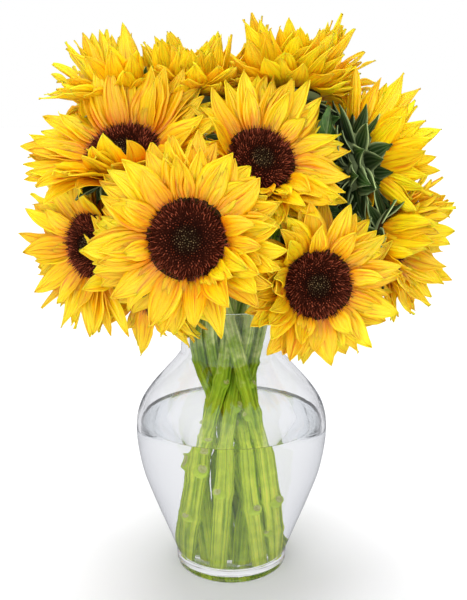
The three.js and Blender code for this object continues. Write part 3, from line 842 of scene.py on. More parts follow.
def floret_look(tree):
    """Florets of the disc: dark middle, maroon ring, paler tips."""
    looks = bpy.context.scene.sunflower_blooms
    _uv, ring, height = uv_map(tree)
    tone, grain = tone_of(tree), mottle(tree, 1.6)
    disc, open_tip = looks.disc_colour, looks.floret_tip_colour
    low = ring.ramp((0.0, looks.middle_colour), (0.45, looks.dark_colour), (0.8, disc), (1.0, disc))
    tip = ring.ramp((0.3, looks.seed_colour), (0.46, disc), (0.62, open_tip), (1.0, open_tip))
    colour = low.mixed(height**1.6 * (0.35 + tone), tip)
    speck = colour.tinted(0.6, grain.ramp((0.3, 0.35), (0.7, 1.5)))
    return {
        "Base Color": speck.tinted(1.0, tone.ramp((0.0, 0.3), (0.6, 1.0), (1.0, (2.2, 2.1, 2.0)))),
        "Roughness": 0.85,
        "Specular IOR Level": 0.05,
        "Normal": grain.bump(0.5),
    }


def stem_look(tree):
    """Ribbed green stem, brighter and paler in the water as painted light, and paler in the vase's
    neck as a painted haze of the glass.
    """
    looks = bpy.context.scene.sunflower_greens
    # Painted light: the foot colour brightens the stems in the water, and the neck colour paints
    # the pale haze of the glass over them.
    green, foot, neck = looks.stem_colour, looks.water_lit_foot_colour, looks.neck_glass_haze_colour
    uv, around, along = uv_map(tree)
    tone, blotch = tone_of(tree), mottle(tree, 9.0)
    ribs = ribs_on(uv, 11.0, 3.5, 7.0)
    strand = strands(around * 15.0, along * 5.0, tone * 9.0, 3.0, 0.6)
    height = parts_of(node(tree, "ShaderNodeTexCoord", output="Object"))[2]
    # Painted light by height: bright in the water, green above it, pale with the painted haze of
    # the neck's glass, then green above the rim.
    climb = height * (1 / 0.3) + (blotch - 0.5) * 0.4
    colour = climb.ramp((0.34, foot), (0.45, green), (0.56, green), (0.66, neck), (0.85, green))
    tones = tone.ramp((0.0, (0.88, 0.91, 0.85)), (1.0, (1.15, 1.1, 1.15)))
    streaks = strand.ramp((0.33, (0.46, 0.57, 0.36)), (0.47, 1.0), (0.66, (1.4, 1.28, 1.6)))
    streaked = colour.tinted(1.0, tones).tinted(1.0, streaks)
    # Painted shade darkens the grooves between the stem's ridges, and a painted highlight pales the
    # ridges' tops.
    grooved = streaked.tinted(ribs.of("Groove") * 0.55, (0.62, 0.72, 0.5))
    lined = grooved.mixed(ribs * 0.25, tuple(min(1, 1.75 * c + 0.03) for c in green))
    shade = blotch.ramp((0.25, (0.62, 0.7, 0.55)), (0.6, 1.0), (0.85, (1.25, 1.15, 1.0)))
    return {
        "Base Color": lined.tinted(0.8, shade),
        "Roughness": 0.58,
        "Specular IOR Level": 0.15,
        "Subsurface Weight": 0.12,
        "Subsurface Radius": (0.5, 1.0, 0.2),
        "Subsurface Scale": 0.002,
        "Normal": (1.0 - ribs.of("Height")).bump(0.7),
    }


def scar_look(tree):
    """Pale end of a trimmed leaf stalk, with brown spots."""
    blotch = mottle(tree, 1.8)
    brown, green, pale = (0.34, 0.22, 0.05), (0.58, 0.62, 0.15), (0.80, 0.84, 0.32)
    colour = blotch.ramp((0.24, brown), (0.38, green), (0.6, pale))
    return {"Base Color": colour, "Roughness": 0.7, "Normal": blotch.bump(0.4)}


def bract_look(tree):
    """Dark green bract with a paler edge and a few ribs."""
    looks = bpy.context.scene.sunflower_greens
    dark, edge = looks.bract_colour, looks.edge_colour
    uv, across, along = uv_map(tree)
    ribs = ribs_on(uv, 4.0, 1.0, 1.0)
    reach = along + (mottle(tree, 5.0) - 0.5) * 0.6
    colour = reach.ramp((0.0, dark), (0.6, dark), (1.0, tuple(0.5 * c for c in looks.leaf_colour)))
    edged = colour.mixed(abs(across * 2.0 - 1.0) ** 7.0 * 0.8, edge).mixed(ribs * 0.1, edge)
    return {
        "Base Color": edged.tinted(1.0, tone_of(tree).ramp((0.0, 0.4), (1.0, 1.5))),
        "Roughness": 0.55,
        "Specular IOR Level": 0.14,
        "Normal": ribs.of("Height").bump(0.35),
    }


def leaf_look(tree):
    """Leaf with a pale midrib and side veins, quilted between them."""
    looks = bpy.context.scene.sunflower_greens
    dark, green, light = looks.bract_colour, looks.leaf_colour, looks.stem_colour
    _uv, across, along = uv_map(tree)
    blotch = mottle(tree, 7.0)
    from_middle = abs(across * 2.0 - 1.0)
    slant = along * 8.0 - from_middle * 1.9
    side_veins = abs(slant.fraction() * 2.0 - 1.0) ** 9.0
    veins = ((1.0 - from_middle) ** 14.0).larger(side_veins * 0.7)
    colour = blotch.ramp((0.3, dark), (0.6, green), (0.9, light))
    return {
        "Base Color": colour.mixed(veins * 0.65, looks.edge_colour),
        "Roughness": 0.48,
        "Normal": (blotch * 0.5 - veins).bump(0.5),
    }


def clear_look(tree, colour, ior, unshaded, normal):
    """Something clear, through which a share of the light goes straight to the shadows."""
    return {
        "Base Color": colour,
        "Roughness": 0.0,
        "Transmission Weight": 1.0,
        "IOR": ior,
        "Alpha": 1.0 - node(tree, "ShaderNodeLightPath", output="Is Shadow Ray") * unshaded,
        "Normal": normal,
    }


def glass_look(tree):
    """Clear glass with a trace of unevenness."""
    colour = bpy.context.scene.sunflower_vase.glass_colour
    return clear_look(tree, colour, 1.5, 0.8, mottle(tree, 60.0).bump(0.5, 0.35))


def water_look(tree):
    """Clear water with a faint green cast and a hardly rippled top."""
    colour = bpy.context.scene.sunflower_vase.water_colour
    return clear_look(tree, colour, 1.33, 0.95, mottle(tree, 30.0).bump(0.4, 0.3))


def floor_look(tree):
    """Pale matte floor with a trace of grain. Seen through the glass or mirrored in it, it gives
    way to the light studio, as a lit table would."""
    pale = bpy.context.scene.sunflower_stage.floor_colour
    ray = node(tree, "ShaderNodeLightPath", output="Is Transmission Ray")
    return {
        "Base Color": mottle(tree, 80.0).ramp((0.3, pale), (0.7, tuple(c * 0.99 for c in pale))),
        "Roughness": 0.9,
        "Specular IOR Level": 0.0,
        "Alpha": 1.0 - ray.larger(ray.of("Is Glossy Ray")),
    }


LOOKS = {
    "petal_yellow": petal_look,
    "floret_brown": floret_look,
    "stem_green": stem_look,
    "stalk_scar": scar_look,
    "bract_green": bract_look,
    "leaf_green": leaf_look,
    "clear_glass": glass_look,
    "clear_water": water_look,
    "pale_floor": floor_look,
}


@lru_cache(maxsize=None)
def coat(name):
    """The material of a name. Its look gives what its shader is fed with."""
    made = bpy.data.materials.new(name)
    made.use_nodes = True
    tree = made.node_tree
    tree.nodes.clear()
    shader = node(tree, "ShaderNodeBsdfPrincipled", LOOKS[name](tree))
    node(tree, "ShaderNodeOutputMaterial", {"Surface": shader})
    return made


# Sizes and colours that a user would change


def coloured(name, description, default):
    """A colour as a property."""
    return FloatVectorProperty(
        name=name,
        description=description,
        default=default,
        subtype="COLOR",
        size=3,
        min=0.0,
        max=1.0,
    )


def measured(name, description, default, low, **more):
    """A number as a property, with the lowest that it may be."""
    return FloatProperty(name=name, description=description, default=default, min=low, **more)


class SunflowerVaseSettings(bpy.types.PropertyGroup):
    """The vase and its water"""

    wall: measured(
        "Glass thickness", "Thickness of the vase's wall", WALL * MM, 0.001, unit="LENGTH"
    )
    level: measured(
        "Water level", "Height of the water above the floor", 0.117, 0.02, max=0.18, unit="LENGTH"
    )
    sides: IntProperty(
        name="Steps", description="Steps in which the vase is turned", default=128, min=24
    )
    glass_colour: coloured("Glass", "Colour of the glass", (0.984, 0.987, 0.995))
    water_colour: coloured("Water", "Colour of the water", (0.99, 0.996, 0.99))


class SunflowerBloomSettings(bpy.types.PropertyGroup):
    """The petals and the discs"""

    fullness: measured(
        "Fullness", "Share of the gaps between petals that get a further petal", 0.95, 0.0, max=1.0
    )
    breadth: measured(
        "Petal breadth", "Breadth of the petals against those of the solids", 1.06, 0.5, max=2.0
    )
    thickness: measured("Petal thickness", "Thickness of a petal", 0.0005, 0.0001, unit="LENGTH")
    florets: IntProperty(
        name="Florets", description="Florets in each disc", default=680, min=50, max=1200
    )
    petal_colour: coloured("Petal", "Colour of a petal's middle", (0.96, 0.57, 0.001))
    tip_colour: coloured("Petal tip", "Colour of a petal's tip", (0.98, 0.68, 0.014))
    # Partly painted shade: the root's own orange, deepened for the shade near the disc.
    root_and_shade_colour: coloured("Petal root", "Colour of a petal's root", (0.78, 0.25, 0.002))
    rib_colour: coloured("Petal rib", "Shade along a petal's ribs", (0.92, 0.56, 0.22))
    middle_colour: coloured("Disc middle", "Colour at the disc's middle", (0.036, 0.019, 0.005))
    dark_colour: coloured("Disc dark ring", "Colour of the dark ring", (0.034, 0.005, 0.001))
    disc_colour: coloured("Disc", "Colour of the open florets", (0.095, 0.014, 0.004))
    seed_colour: coloured("Disc grain", "Colour of the grains in the middle", (0.13, 0.10, 0.05))
    floret_tip_colour: coloured(
        "Floret tip", "Colour of the open florets' tips", (0.21, 0.058, 0.032)
    )


class SunflowerGreenSettings(bpy.types.PropertyGroup):
    """The stems, bracts and leaves"""

    ridge: measured(
        "Ridges", "Depth of a stem's ridges as a share of its radius", 0.045, 0.0, max=0.2
    )
    stem_colour: coloured("Stem", "Colour of a stem", (0.35, 0.55, 0.02))
    # Painted light: the stems' brighter look in the water.
    water_lit_foot_colour: coloured("Stem foot", "Colour of a stem in the water", (0.80, 0.98, 0.09))
    # Painted reflection: the pale haze of the glass over the stems in the vase's neck.
    neck_glass_haze_colour: coloured("Stem neck", "Colour of a stem in the vase's neck", (0.72, 0.82, 0.30))
    bract_colour: coloured("Bract", "Colour of the bracts", (0.011, 0.030, 0.004))
    leaf_colour: coloured("Leaf", "Colour of the leaves", (0.055, 0.15, 0.018))
    edge_colour: coloured("Edge", "Colour of veins and edges", (0.42, 0.53, 0.24))


class SunflowerStageSettings(bpy.types.PropertyGroup):
    """The floor, the lights and the camera"""

    floor_colour: coloured("Floor", "Colour of the floor", (0.89, 0.895, 0.91))
    floor_front: measured(
        "Floor in front", "How far the floor reaches before the vase", 0.16, 0.1, unit="LENGTH"
    )
    key: measured("Key light", "Power of the main light", 3.8, 0.0, unit="POWER")
    overhead: measured("Overhead light", "Strength of the soft light from above", 2.45, 0.0)
    lens: measured("Lens", "Focal length of the camera", 51.0, 10.0, unit="CAMERA")


# Pieces


def vase_body():
    """The vase's smooth outside above its foot, as (radius, height)."""
    points = [Vector((r, h, 0)) for r, h in VASE_OUTER[2:]]
    return [(p.x, p.y) for p in smooth_line(points, BODY_PARTS)]


class TurnVase(bpy.types.Operator):
    """Turn the glass vase"""

    bl_idname = "sunflowers.turn_vase"
    bl_label = "Turn Vase"

    def execute(self, context):
        settings = context.scene.sunflower_vase
        wall = settings.wall / MM
        body = vase_body()
        inner = [(r - wall, h) for r, h in reversed(body) if h > HOLLOW_FOOT]
        bm = blank_mesh()
        turned(bm, VASE_FOOT + body + VASE_LIP + inner + VASE_HOLLOW, settings.sides)
        piece("glass_vase", bm, ["clear_glass"], ["vase"])
        return {"FINISHED"}


class PourWater(bpy.types.Operator):
    """Pour the water into the vase"""

    bl_idname = "sunflowers.pour_water"
    bl_label = "Pour Water"

    def execute(self, context):
        settings = context.scene.sunflower_vase
        inset = settings.wall / MM - WATER_INTO_GLASS
        level = settings.level / MM
        body = [(r - inset, h) for r, h in vase_body() if HOLLOW_FOOT < h < level - 3]
        edge = read_off(VASE_OUTER, level) - inset
        top = [(edge - away, level + rise) for away, rise in MENISCUS] + [(0.0, level)]
        bm = blank_mesh()
        turned(bm, WATER_FOOT + body + top, settings.sides)
        piece("vase_water", bm, ["clear_water"], ["water"])
        return {"FINISHED"}


def calyx_profile(head):
    """Outline of the green cup behind a disc, from the stem to the rim."""
    d = head.disc
    return [
        (0.0, -22.0), (head.stem * 0.95, -21.0), (head.stem * 1.15, -18.6), (9.0, -16.2),
        (d - 6.4, -11.4), (d - 2.0, -7.4), (d + 2.2, -3.9), (d + 2.6, -3.1), (d, SEAT), (0.0, SEAT),
    ]


def cone(bm, middle, aim, sides, foot, top, length):
    """Adds a blunt cone that points a given way, and gives its vertices."""
    turn = aim.to_track_quat("Z", "Y").to_matrix().to_4x4()
    made = bmesh.ops.create_cone(
        bm,
        segments=sides,
        cap_ends=True,
        radius1=foot * MM,
        radius2=top * MM,
        depth=length * MM,
        matrix=Matrix.Translation(middle * MM) @ turn,
    )
    return made["verts"]


def stub(bm, centre, outward, size):
    """Adds the stub of a trimmed leaf stalk to a stem."""
    up = (Z * 0.6 + outward).normalized()
    verts = cone(bm, centre + outward * 0.6, up, 12, 3.6 * size, 2.3 * size, 3.4 * size)
    faces = (face for vertex in verts for face in vertex.link_faces)
    tip = max(faces, key=lambda face: face.calc_center_median().dot(up))
    bmesh.ops.inset_region(bm, faces=[tip], thickness=0.5 * size * MM, depth=-0.15 * size * MM)
    tip.material_index = 1
    edges = list({edge: None for vertex in verts for edge in vertex.link_edges})
    bmesh.ops.bevel(
        bm,
        geom=edges,
        offset=0.35 * size * MM,
        segments=2,
        profile=0.5,
        affect="EDGES",
        material=-1,
    )


def grow_stem(head, ridge):
    """Makes one ribbed stem, the stubs on it and the green cup on its end."""
    draw = Draws(head.seed + 31)
    line = smooth_line(head.points, STEM_PARTS)
    knobs = STEM_KNOBS[head.name]
    swell = []
    for point in line:
        near = max(math.exp(-(((point.z - height) / 4) ** 2)) for height, _turn, _size in knobs)
        swell.append(0.015 * draw() + 0.2 * near)

    def radius(s):
        return head.stem * (1.04 - 0.07 * s + swell[round(s * (len(swell) - 1))])

    bm = blank_mesh()
    tube(bm, line, radius, STEM_SIDES, 0.5 + 0.5 * draw(), ridge, STEM_RIDGES)
    for height, turn, size in knobs:
        place = min(line, key=lambda point: abs(point.z - height))
        outward = level_way(turn)
        stub(bm, place + outward * head.stem * 0.86, outward, size)
    turned(bm, calyx_profile(head), 36, head, tone=0.2, material=2)
    coats = ["stem_green", "stalk_scar", "bract_green"]
    piece(f"{head.name}_stalk", bm, coats, [f"{head.name}_stem"])


class GrowStems(bpy.types.Operator):
    """Grow the stems with the green cups that carry the heads"""

    bl_idname = "sunflowers.grow_stems"
    bl_label = "Grow Stems"

    def execute(self, context):
        for head in heads().values():
            grow_stem(head, context.scene.sunflower_greens.ridge)
        return {"FINISHED"}


def bract_shape(width, phase):
    """Form of a bract: broad at its foot, with a long drawn-out tip."""

    def shape(u, s):
        half = width * read_off(BRACT_OUTLINE, s) / 2
        height = -1.3 * (1 - u * u) * (1 - 0.4 * s)
        height += 1.1 * u * u * math.sin(6.0 * s + phase) * s
        return half * u, height

    return shape


def further_bract(bract, ring, showy, draw):
    """A bract of a further whorl behind one of the first. A showy one is broad and curled."""
    further = dict(bract)
    bent(further, angle=15 * (ring % 2) + 7 * draw())
    further["radius"] -= 3.2 * ring
    further["height"] -= 2.4 * ring
    further["length"] *= 0.92 - 0.07 * ring + 0.1 * draw()
    bent(further, tilt=-14 - 9 * draw())
    further["curl"] = math.radians(20 * draw() - 10)
    further["twist"] = math.radians(30 * draw())
    bent(further, swerve=10 * draw())
    if showy:
        further["width"] *= 1.15
        further["tilt"] = math.radians(-12 - 24 * ring + 10 * draw())
        further["curl"] = math.radians(60 + 45 * draw())
        further["twist"] = math.radians(35 * draw())
    return further


def front_bract(head, i, draw):
    """A bract of the whorl right behind the petals."""
    return blade(
        2 * math.pi * (i + 0.4 * draw()) / FRONT_BRACTS, head.disc - 2, -4.4,
        23 + 3 * draw(), head.cup[0] - 4 + 6 * draw(), -6 + 16 * draw(), 14 * draw(), 20 * draw(),
        12.5 + 1.5 * draw(),
    )


class GrowBracts(bpy.types.Operator):
    """Grow the bracts in whorls behind every head"""

    bl_idname = "sunflowers.grow_bracts"
    bl_label = "Grow Bracts"

    def execute(self, _context):
        for head in heads().values():
            tree = corners(f"{head.name}_stem")
            draw = Draws(head.seed + 59)
            first = [standing(head, bract, BRACT_WAYS, tree) for bract in bracts_of(head)]
            whorl = [bract for bract in first if bract]
            showy = head.name in LUSH_BRACTS
            rings = (1, 2, 3) if showy else (1,)
            whorl += [further_bract(bract, k, showy, draw) for bract in whorl for k in rings]
            whorl += [front_bract(head, i, draw) for i in range(FRONT_BRACTS)]
            bm = blank_mesh()
            for bract in whorl:
                shape = bract_shape(bract["width"], 3 * draw())
                grown(bm, head, bract, BRACT_CELLS, 0.5 + 0.5 * draw(), shape)
            name = f"{head.name}_bracts"
            piece(name, bm, ["bract_green"], thickness=GREEN_THICKNESS)
        return {"FINISHED"}


def leaf_shape(width):
    """Form of a leaf: a stalk, then a toothed blade folded along its midrib."""

    def shape(u, s):
        half = width * read_off(LEAF_OUTLINE, s) / 2
        if s > 0.15:
            half *= 1 + 0.05 * abs(u) * math.sin(LEAF_TEETH * s)
        fold = 0.12 * width * abs(u) * min(1, 4 * s)
        quilt = 0.45 * math.sin(50 * s - 12 * abs(u)) * abs(u) * (1 - abs(u)) * 2
        sway = 0.9 * u * u * math.sin(9 * s + 2 * u)
        return half * u, fold - 0.8 + quilt + sway * s

    return shape


class GrowLeaves(bpy.types.Operator):
    """Grow the leaves that stand on the stems"""

    bl_idname = "sunflowers.grow_leaves"
    bl_label = "Grow Leaves"

    def execute(self, _context):
        for i, (name, at, turn, rise, length, width, *twist) in enumerate(LEAVES + SMALL_LEAVES):
            seat = LeafSeat(heads()[name], at, turn)
            if twist:
                stood = blade(0.0, 1, 0, length, rise, -8, 10, *twist)
            else:
                leaf = blade(0.0, 1, 0, length, rise, -34, 10, 6)
                stood = standing(seat, leaf, LEAF_WAYS, corners(f"{name}_stem"))
            if stood:
                bm = blank_mesh()
                grown(bm, seat, stood, LEAF_CELLS, 0.5, leaf_shape(width))
                name = f"{name}_leaf_{i}"
                piece(name, bm, ["leaf_green"], thickness=GREEN_THICKNESS)
        return {"FINISHED"}


def petal_shape(width, draw):
    """Form of a petal: narrow root, full middle, drawn-out tip. It is creased, folded lengthwise or
    rolled in at an edge, waved and frilled, and its tip turns aside, bends and twists."""
    fullest = 0.07 * draw()
    point = 0.05 * draw()
    outline = [
        (0.5, 0), (0.76, 0.08), (0.94, 0.2), (1.0, 0.34 + fullest), (0.94, 0.5 + fullest),
        (0.78, 0.66), (0.58 - point, 0.78), (0.38 - point, 0.88), (0.2, 0.95), (0.02, 1),
    ]
    groove, fold, roll = 1.6 + 1.1 * draw(), 0.9 + 1.5 * draw(), 1.7 * draw()
    crease, set_off = 0.66 + 0.3 * draw(), 1.5 * draw()
    wave, left, right, beat = 1.1 + 0.7 * draw(), 3 * draw(), 3 * draw(), 8.0 + 3.5 * draw()
    frill, flutter = 0.35 + 0.25 * draw(), 24 + 4 * draw()
    hook, aside, lop = 3.6 * draw(), 3.2 * draw(), 0.16 * draw()
    twine = math.radians(40 * draw())

    def shape(u, s):
        edge = abs(u)
        near, far = (left, right) if u < 0 else (right, left)
        out = width * read_off(outline, s) / 2 * (1 + lop * u) * u
        middle = math.sin(math.pi * min(1, s * 1.08))
        height = -groove * (1 - u * u) * (1 - 0.5 * s)
        height += fold * edge * math.sin(math.pi * min(1, 1.2 * s))
        ripple = math.cos(3.2 * math.pi * u + set_off + 0.8 * s)
        height += crease * ripple * middle * (1 - edge * 0.5)
        height += wave * u * u * math.sin(beat * s + near) * min(1, 1.6 * s)
        height += frill * u**4 * math.sin(flutter * s + far) * middle
        rolled = 1 if u * roll > 0 else -0.4
        height += roll * max(0, edge - 0.45) * rolled * 3 * math.sin(math.pi * s)
        turn = twine * max(0, (s - 0.35) / 0.65) ** 2
        cos, sin = math.cos(turn), math.sin(turn)
        bend = max(0, (s - 0.5) / 0.5) ** 2
        return out * cos - height * sin + aside * bend, out * sin + height * cos + hook * bend

    return shape


def petals_between(head, row, fullness, draw):
    """Further petals between those of the solids, twice as many in a bloom that looks up."""
    made = []
    for share, gap, length, width, tilt, height in PETAL_WHORLS * (2 if head.upright else 1):
        for i, petal in enumerate(row):
            after = row[(i + 1) % PETALS]
            if not petal or not after or draw() > 2 * share * fullness - 1:
                continue
            if abs(petal["tilt"] - after["tilt"]) > math.radians(TORN_APART):
                continue
            further = {key: petal[key] * (1 - gap) + after[key] * gap for key in petal}
            if i == PETALS - 1:
                further["angle"] = petal["angle"] + 2 * math.pi / PETALS * gap
            bent(further, angle=3.5 * draw())
            further["length"] *= length * (1 + 0.1 * draw())
            further["width"] *= width * (1 + 0.12 * draw())
            further["height"] += height
            bent(further, tilt=tilt + 8 * draw(), curl=18 * draw(), swerve=13 * draw())
            further["twist"] = math.radians(28 * draw())
            made.append(further)
    return made


def skirt_petal(head, i, tilt, share, draw):
    """A drooping petal round a bloom that looks up, shorter where it would stick out aside."""
    angle = 2 * math.pi * (i + 0.5 * draw()) / SKIRT_PETALS
    shorter = 1 - 0.34 * abs(head.out(angle).x)
    length, width = head.petal
    return blade(
        angle, head.disc + 1, -1.2, length * share * shorter * (1 + 0.1 * draw()),
        tilt + 9 * draw(), 14 * draw(), 14 * draw(), 13 * draw(), width * (1.05 + 0.12 * draw()),
    )


def corolla_of(head, fullness, draw):
    """All the petals of a bloom."""
    tree = corners(f"{head.name}_petals")
    row = [standing(head, petal, PETAL_WAYS, tree) for petal in petals_of(head)]
    petals = [petal for petal in row if petal] + petals_between(head, row, fullness, draw)
    for tilt, share in SKIRTS if head.upright else ():
        petals += [skirt_petal(head, i, tilt, share, draw) for i in range(SKIRT_PETALS)]
    length, width = head.petal
    for angle, tilt, curl, twist, long, broad in INNER_PETALS.get(head.name, ()):
        place = (math.radians(angle), head.disc + 0.4, 1.0)
        petals.append(blade(*place, length * long, tilt, curl, 12 * draw(), twist, width * broad))
    return petals


def set_collar(head):
    """Makes the ring that the petals stand on."""
    inner, foot = head.disc - 1.2, SEAT + 0.3
    profile = [
        (inner, foot), (head.disc + 3.0, foot), (head.disc + 2.4, -1.0), (head.disc + 0.5, 1.2),
        (inner, 1.0), (inner, foot),
    ]
    bm = blank_mesh()
    turned(bm, profile, 48, head)
    piece(f"{head.name}_collar", bm, ["floret_brown"])


class GrowPetals(bpy.types.Operator):
    """Grow the petals of every bloom on the ring that carries them"""

    bl_idname = "sunflowers.grow_petals"
    bl_label = "Grow Petals"

    def execute(self, context):
        settings = context.scene.sunflower_blooms
        for head in heads().values():
            draw = Draws(head.seed + 83)
            bm = blank_mesh()
            # Painted light: a bloom turned away from the front gets brighter, yellower petals as if
            # it were lit.
            paler = LIGHT_PAINTED_ASIDE * (1 + head.n.y)
            for petal in corolla_of(head, settings.fullness, draw):
                petal["radius"] -= PETAL_ROOT
                petal["length"] += PETAL_ROOT
                shape = petal_shape(petal["width"] * settings.breadth, draw)
                grown(bm, head, petal, PETAL_CELLS, 0.5 + 0.5 * draw() + paler, shape)
            replaced = [f"{head.name}_petals"]
            name = f"{head.name}_corolla"
            piece(name, bm, ["petal_yellow"], replaced, settings.thickness)
            set_collar(head)
        return {"FINISHED"}


def floret(head, k, count, draw):
    """Place, aim, girth and length of a floret, and its share of the way out to the disc's rim."""
    share = math.sqrt((k + 0.5) / count) * 1.02
    angle = k * math.pi * (3 - math.sqrt(5))
    ripe = min(max((share - 0.5) / 0.3, 0), 1)
    length = 1.5 + 1.9 * ripe + 0.6 * draw() + (1.6 + 0.9 * draw() if share > 0.93 else 0)
    girth = 0.7 + 0.08 * draw() - 0.12 * ripe
    lean = math.radians(-18 + 78 * max(0, share - 0.35) / 0.65 + 16 * draw())
    out = head.out(angle)
    aside = head.n.cross(out) * (0.3 * draw())
    aim = (head.n * math.cos(lean) + out * math.sin(lean) + aside).normalized()
    foot = head.point(angle, share * (head.disc - DISC_INSET), read_off(CROWN, share) - 0.5)
    return foot, aim, girth, length, share


def sow_disc(head, count):
    """Makes one disc: a low dome with its florets on it. The UV map says how far out each stands
    and which end of it is the tip."""
    bm = blank_mesh()
    uv = bm.loops.layers.uv["UVMap"]
    tones = bm.verts.layers.float["tone"]
    reach, foot = head.disc - DISC_INSET, SEAT + 0.3
    dome = [(0.0, 2.6), (0.42 * reach, 4.3), (0.8 * reach, 4.4), (reach, 1.8), (reach, foot)]
    turned(bm, dome + [(0.0, foot)], 36, head, tone=0.0)
    for face in bm.faces:
        for loop in face.loops:
            out = (loop.vert.co / MM - head.centre).length / reach
            loop[uv].uv = (min(out, 1), 0.0)
    draw = Draws(head.seed + 7)
    for k in range(count):
        foot, aim, girth, length, share = floret(head, k, count, draw)
        verts = cone(bm, foot + aim * length / 2, aim, 5, girth, girth * 0.22, length)
        tone = 0.5 + 0.5 * draw()
        for vertex in verts:
            vertex[tones] = tone
            high = 1.0 if (vertex.co / MM - foot).dot(aim) > length / 2 else 0.0
            for loop in vertex.link_loops:
                loop[uv].uv = (min(share, 1), high)
    replaced = [f"{head.name}_disc"]
    piece(f"{head.name}_florets", bm, ["floret_brown"], replaced, smooth=False)


class SowFlorets(bpy.types.Operator):
    """Sow the florets of every disc in their spiral"""

    bl_idname = "sunflowers.sow_florets"
    bl_label = "Sow Florets"

    def execute(self, context):
        for head in heads().values():
            sow_disc(head, context.scene.sunflower_blooms.florets)
        return {"FINISHED"}


def lay_floor(front):
    """Lays the wide floor, which reaches a given way before the vase."""
    bm = bmesh.new()
    bmesh.ops.create_grid(bm, x_segments=4, y_segments=4, size=FLOOR_REACH)
    bmesh.ops.translate(bm, verts=bm.verts, vec=(0, FLOOR_REACH - front, 0))
    mesh = bpy.data.meshes.new("studio_floor")
    bm.to_mesh(mesh)
    bm.free()
    mesh.materials.append(coat("pale_floor"))
    placed("studio_floor", mesh)


def set_camera(scene, lens):
    """Sets the camera where the photograph was taken from."""
    camera = bpy.data.cameras.new("camera")
    camera.lens = lens
    camera.sensor_width = 36
    camera.clip_start = 0.01
    scene.camera = placed("camera", camera)
    scene.camera.location = CAMERA_PLACE
    scene.camera.rotation_euler = (math.radians(90 - CAMERA_DIP), 0, 0)


def hang_lamps(settings):
    """Hangs a large soft lamp before the vase and a wide sun overhead."""
    lamp = bpy.data.lights.new("key", "AREA")
    lamp.shape = "RECTANGLE"
    lamp.size = lamp.size_y = 1.2
    lamp.energy = settings.key
    lamp.color = (1, 0.99, 0.97)
    key = placed("key", lamp)
    key.location = KEY_PLACE
    key.rotation_euler = (KEY_AIM - KEY_PLACE).to_track_quat("-Z", "Y").to_euler()
    sun = bpy.data.lights.new("overhead", "SUN")
    sun.energy = settings.overhead
    sun.angle = math.radians(40)
    above = placed("overhead", sun)
    above.rotation_euler = (math.radians(-9), math.radians(-1), 0)
    key.visible_transmission = above.visible_transmission = above.visible_glossy = False


def light_studio(scene):
    """Makes the studio's light: white to the camera, greys through and in the glass, and soft
    with most of it from the front for all else."""
    scene.world = bpy.data.worlds.new("studio")
    scene.world.use_nodes = True
    tree = scene.world.node_tree
    tree.nodes.clear()
    _x, y, z = parts_of(node(tree, "ShaderNodeTexCoord", output="Generated"))
    front = 1.0 - (y * 0.5 + 0.5)
    behind = 0.5 + (y - z * 0.6) * 0.4
    soft = front.ramp(
        (0.1, 0.27), (0.5, (0.44, 0.44, 0.445)), (0.8, (1.0, 1.0, 1.01)), (1.0, (2.4, 2.4, 2.42))
    )
    through = behind.ramp(
        (0.1, (0.72, 0.73, 0.76)), (0.4, (0.80, 0.81, 0.84)), (0.62, (0.84, 0.84, 0.87)),
        (0.85, (0.86, 0.86, 0.89)), (0.97, (0.97, 0.97, 0.98)),
    )
    mirrored = (z * 0.5 + 0.5).ramp(
        (0.2, (0.18, 0.18, 0.20)), (0.55, (0.45, 0.46, 0.49)), (0.85, (0.95, 0.95, 0.96))
    )
    ray = node(tree, "ShaderNodeLightPath")
    colour = soft.mixed(ray.of("Is Glossy Ray"), mirrored)
    colour = colour.mixed(ray.of("Is Transmission Ray"), through)
    colour = colour.mixed(ray.of("Is Camera Ray"), 1.0)
    shine = node(tree, "ShaderNodeBackground", {"Color": colour})
    node(tree, "ShaderNodeOutputWorld", {"Surface": shine})


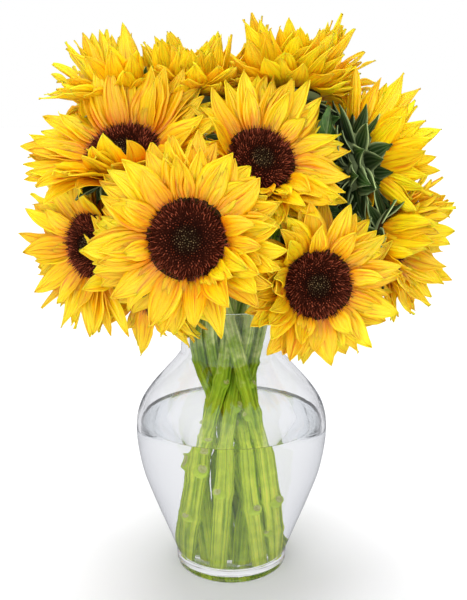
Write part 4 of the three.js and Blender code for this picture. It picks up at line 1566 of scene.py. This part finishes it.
class SetStage(bpy.types.Operator):
    """Set the pale floor, the soft light and the camera"""

    bl_idname = "sunflowers.set_stage"
    bl_label = "Set Stage"

    def execute(self, context):
        scene = context.scene
        settings = scene.sunflower_stage
        lay_floor(settings.floor_front)
        set_camera(scene, settings.lens)
        hang_lamps(settings)
        light_studio(scene)
        scene.view_settings.view_transform = "Standard"
        for kind in ("max", "transmission", "glossy", "transparent_max"):
            setattr(scene.cycles, f"{kind}_bounces", BOUNCES)
        return {"FINISHED"}


SETTINGS = {
    "sunflower_vase": SunflowerVaseSettings,
    "sunflower_blooms": SunflowerBloomSettings,
    "sunflower_greens": SunflowerGreenSettings,
    "sunflower_stage": SunflowerStageSettings,
}
OPERATORS = (
    TurnVase, PourWater, GrowStems, GrowBracts, GrowLeaves, GrowPetals, SowFlorets, SetStage,
)


class SunflowerPanel(bpy.types.Panel):
    """Lists the pieces and the sizes and colours that they take"""

    bl_idname = "VIEW3D_PT_sunflowers"
    bl_label = "Sunflowers in a Vase"
    bl_space_type = "VIEW_3D"
    bl_region_type = "UI"
    bl_category = "Sunflowers"

    def draw(self, context):
        for name, settings in SETTINGS.items():
            box = self.layout.box()
            box.label(text=settings.__doc__)
            for key in settings.__annotations__:
                box.prop(getattr(context.scene, name), key)
        for operator in OPERATORS:
            self.layout.operator(operator.bl_idname)


def register():
    """Registers the settings, the operators and the panel."""
    for name, settings in SETTINGS.items():
        bpy.utils.register_class(settings)
        setattr(bpy.types.Scene, name, PointerProperty(type=settings))
    for operator in OPERATORS:
        bpy.utils.register_class(operator)
    bpy.utils.register_class(SunflowerPanel)


def unregister():
    """Takes them away again."""
    bpy.utils.unregister_class(SunflowerPanel)
    for operator in reversed(OPERATORS):
        bpy.utils.unregister_class(operator)
    for name, settings in SETTINGS.items():
        delattr(bpy.types.Scene, name)
        bpy.utils.unregister_class(settings)


def main():
    """Makes every piece in order."""
    register()
    bpy.ops.sunflowers.turn_vase()
    bpy.ops.sunflowers.pour_water()
    bpy.ops.sunflowers.grow_stems()
    bpy.ops.sunflowers.grow_bracts()
    bpy.ops.sunflowers.grow_leaves()
    bpy.ops.sunflowers.grow_petals()
    bpy.ops.sunflowers.sow_florets()
    bpy.ops.sunflowers.set_stage()


if __name__ == "__main__":
    main()
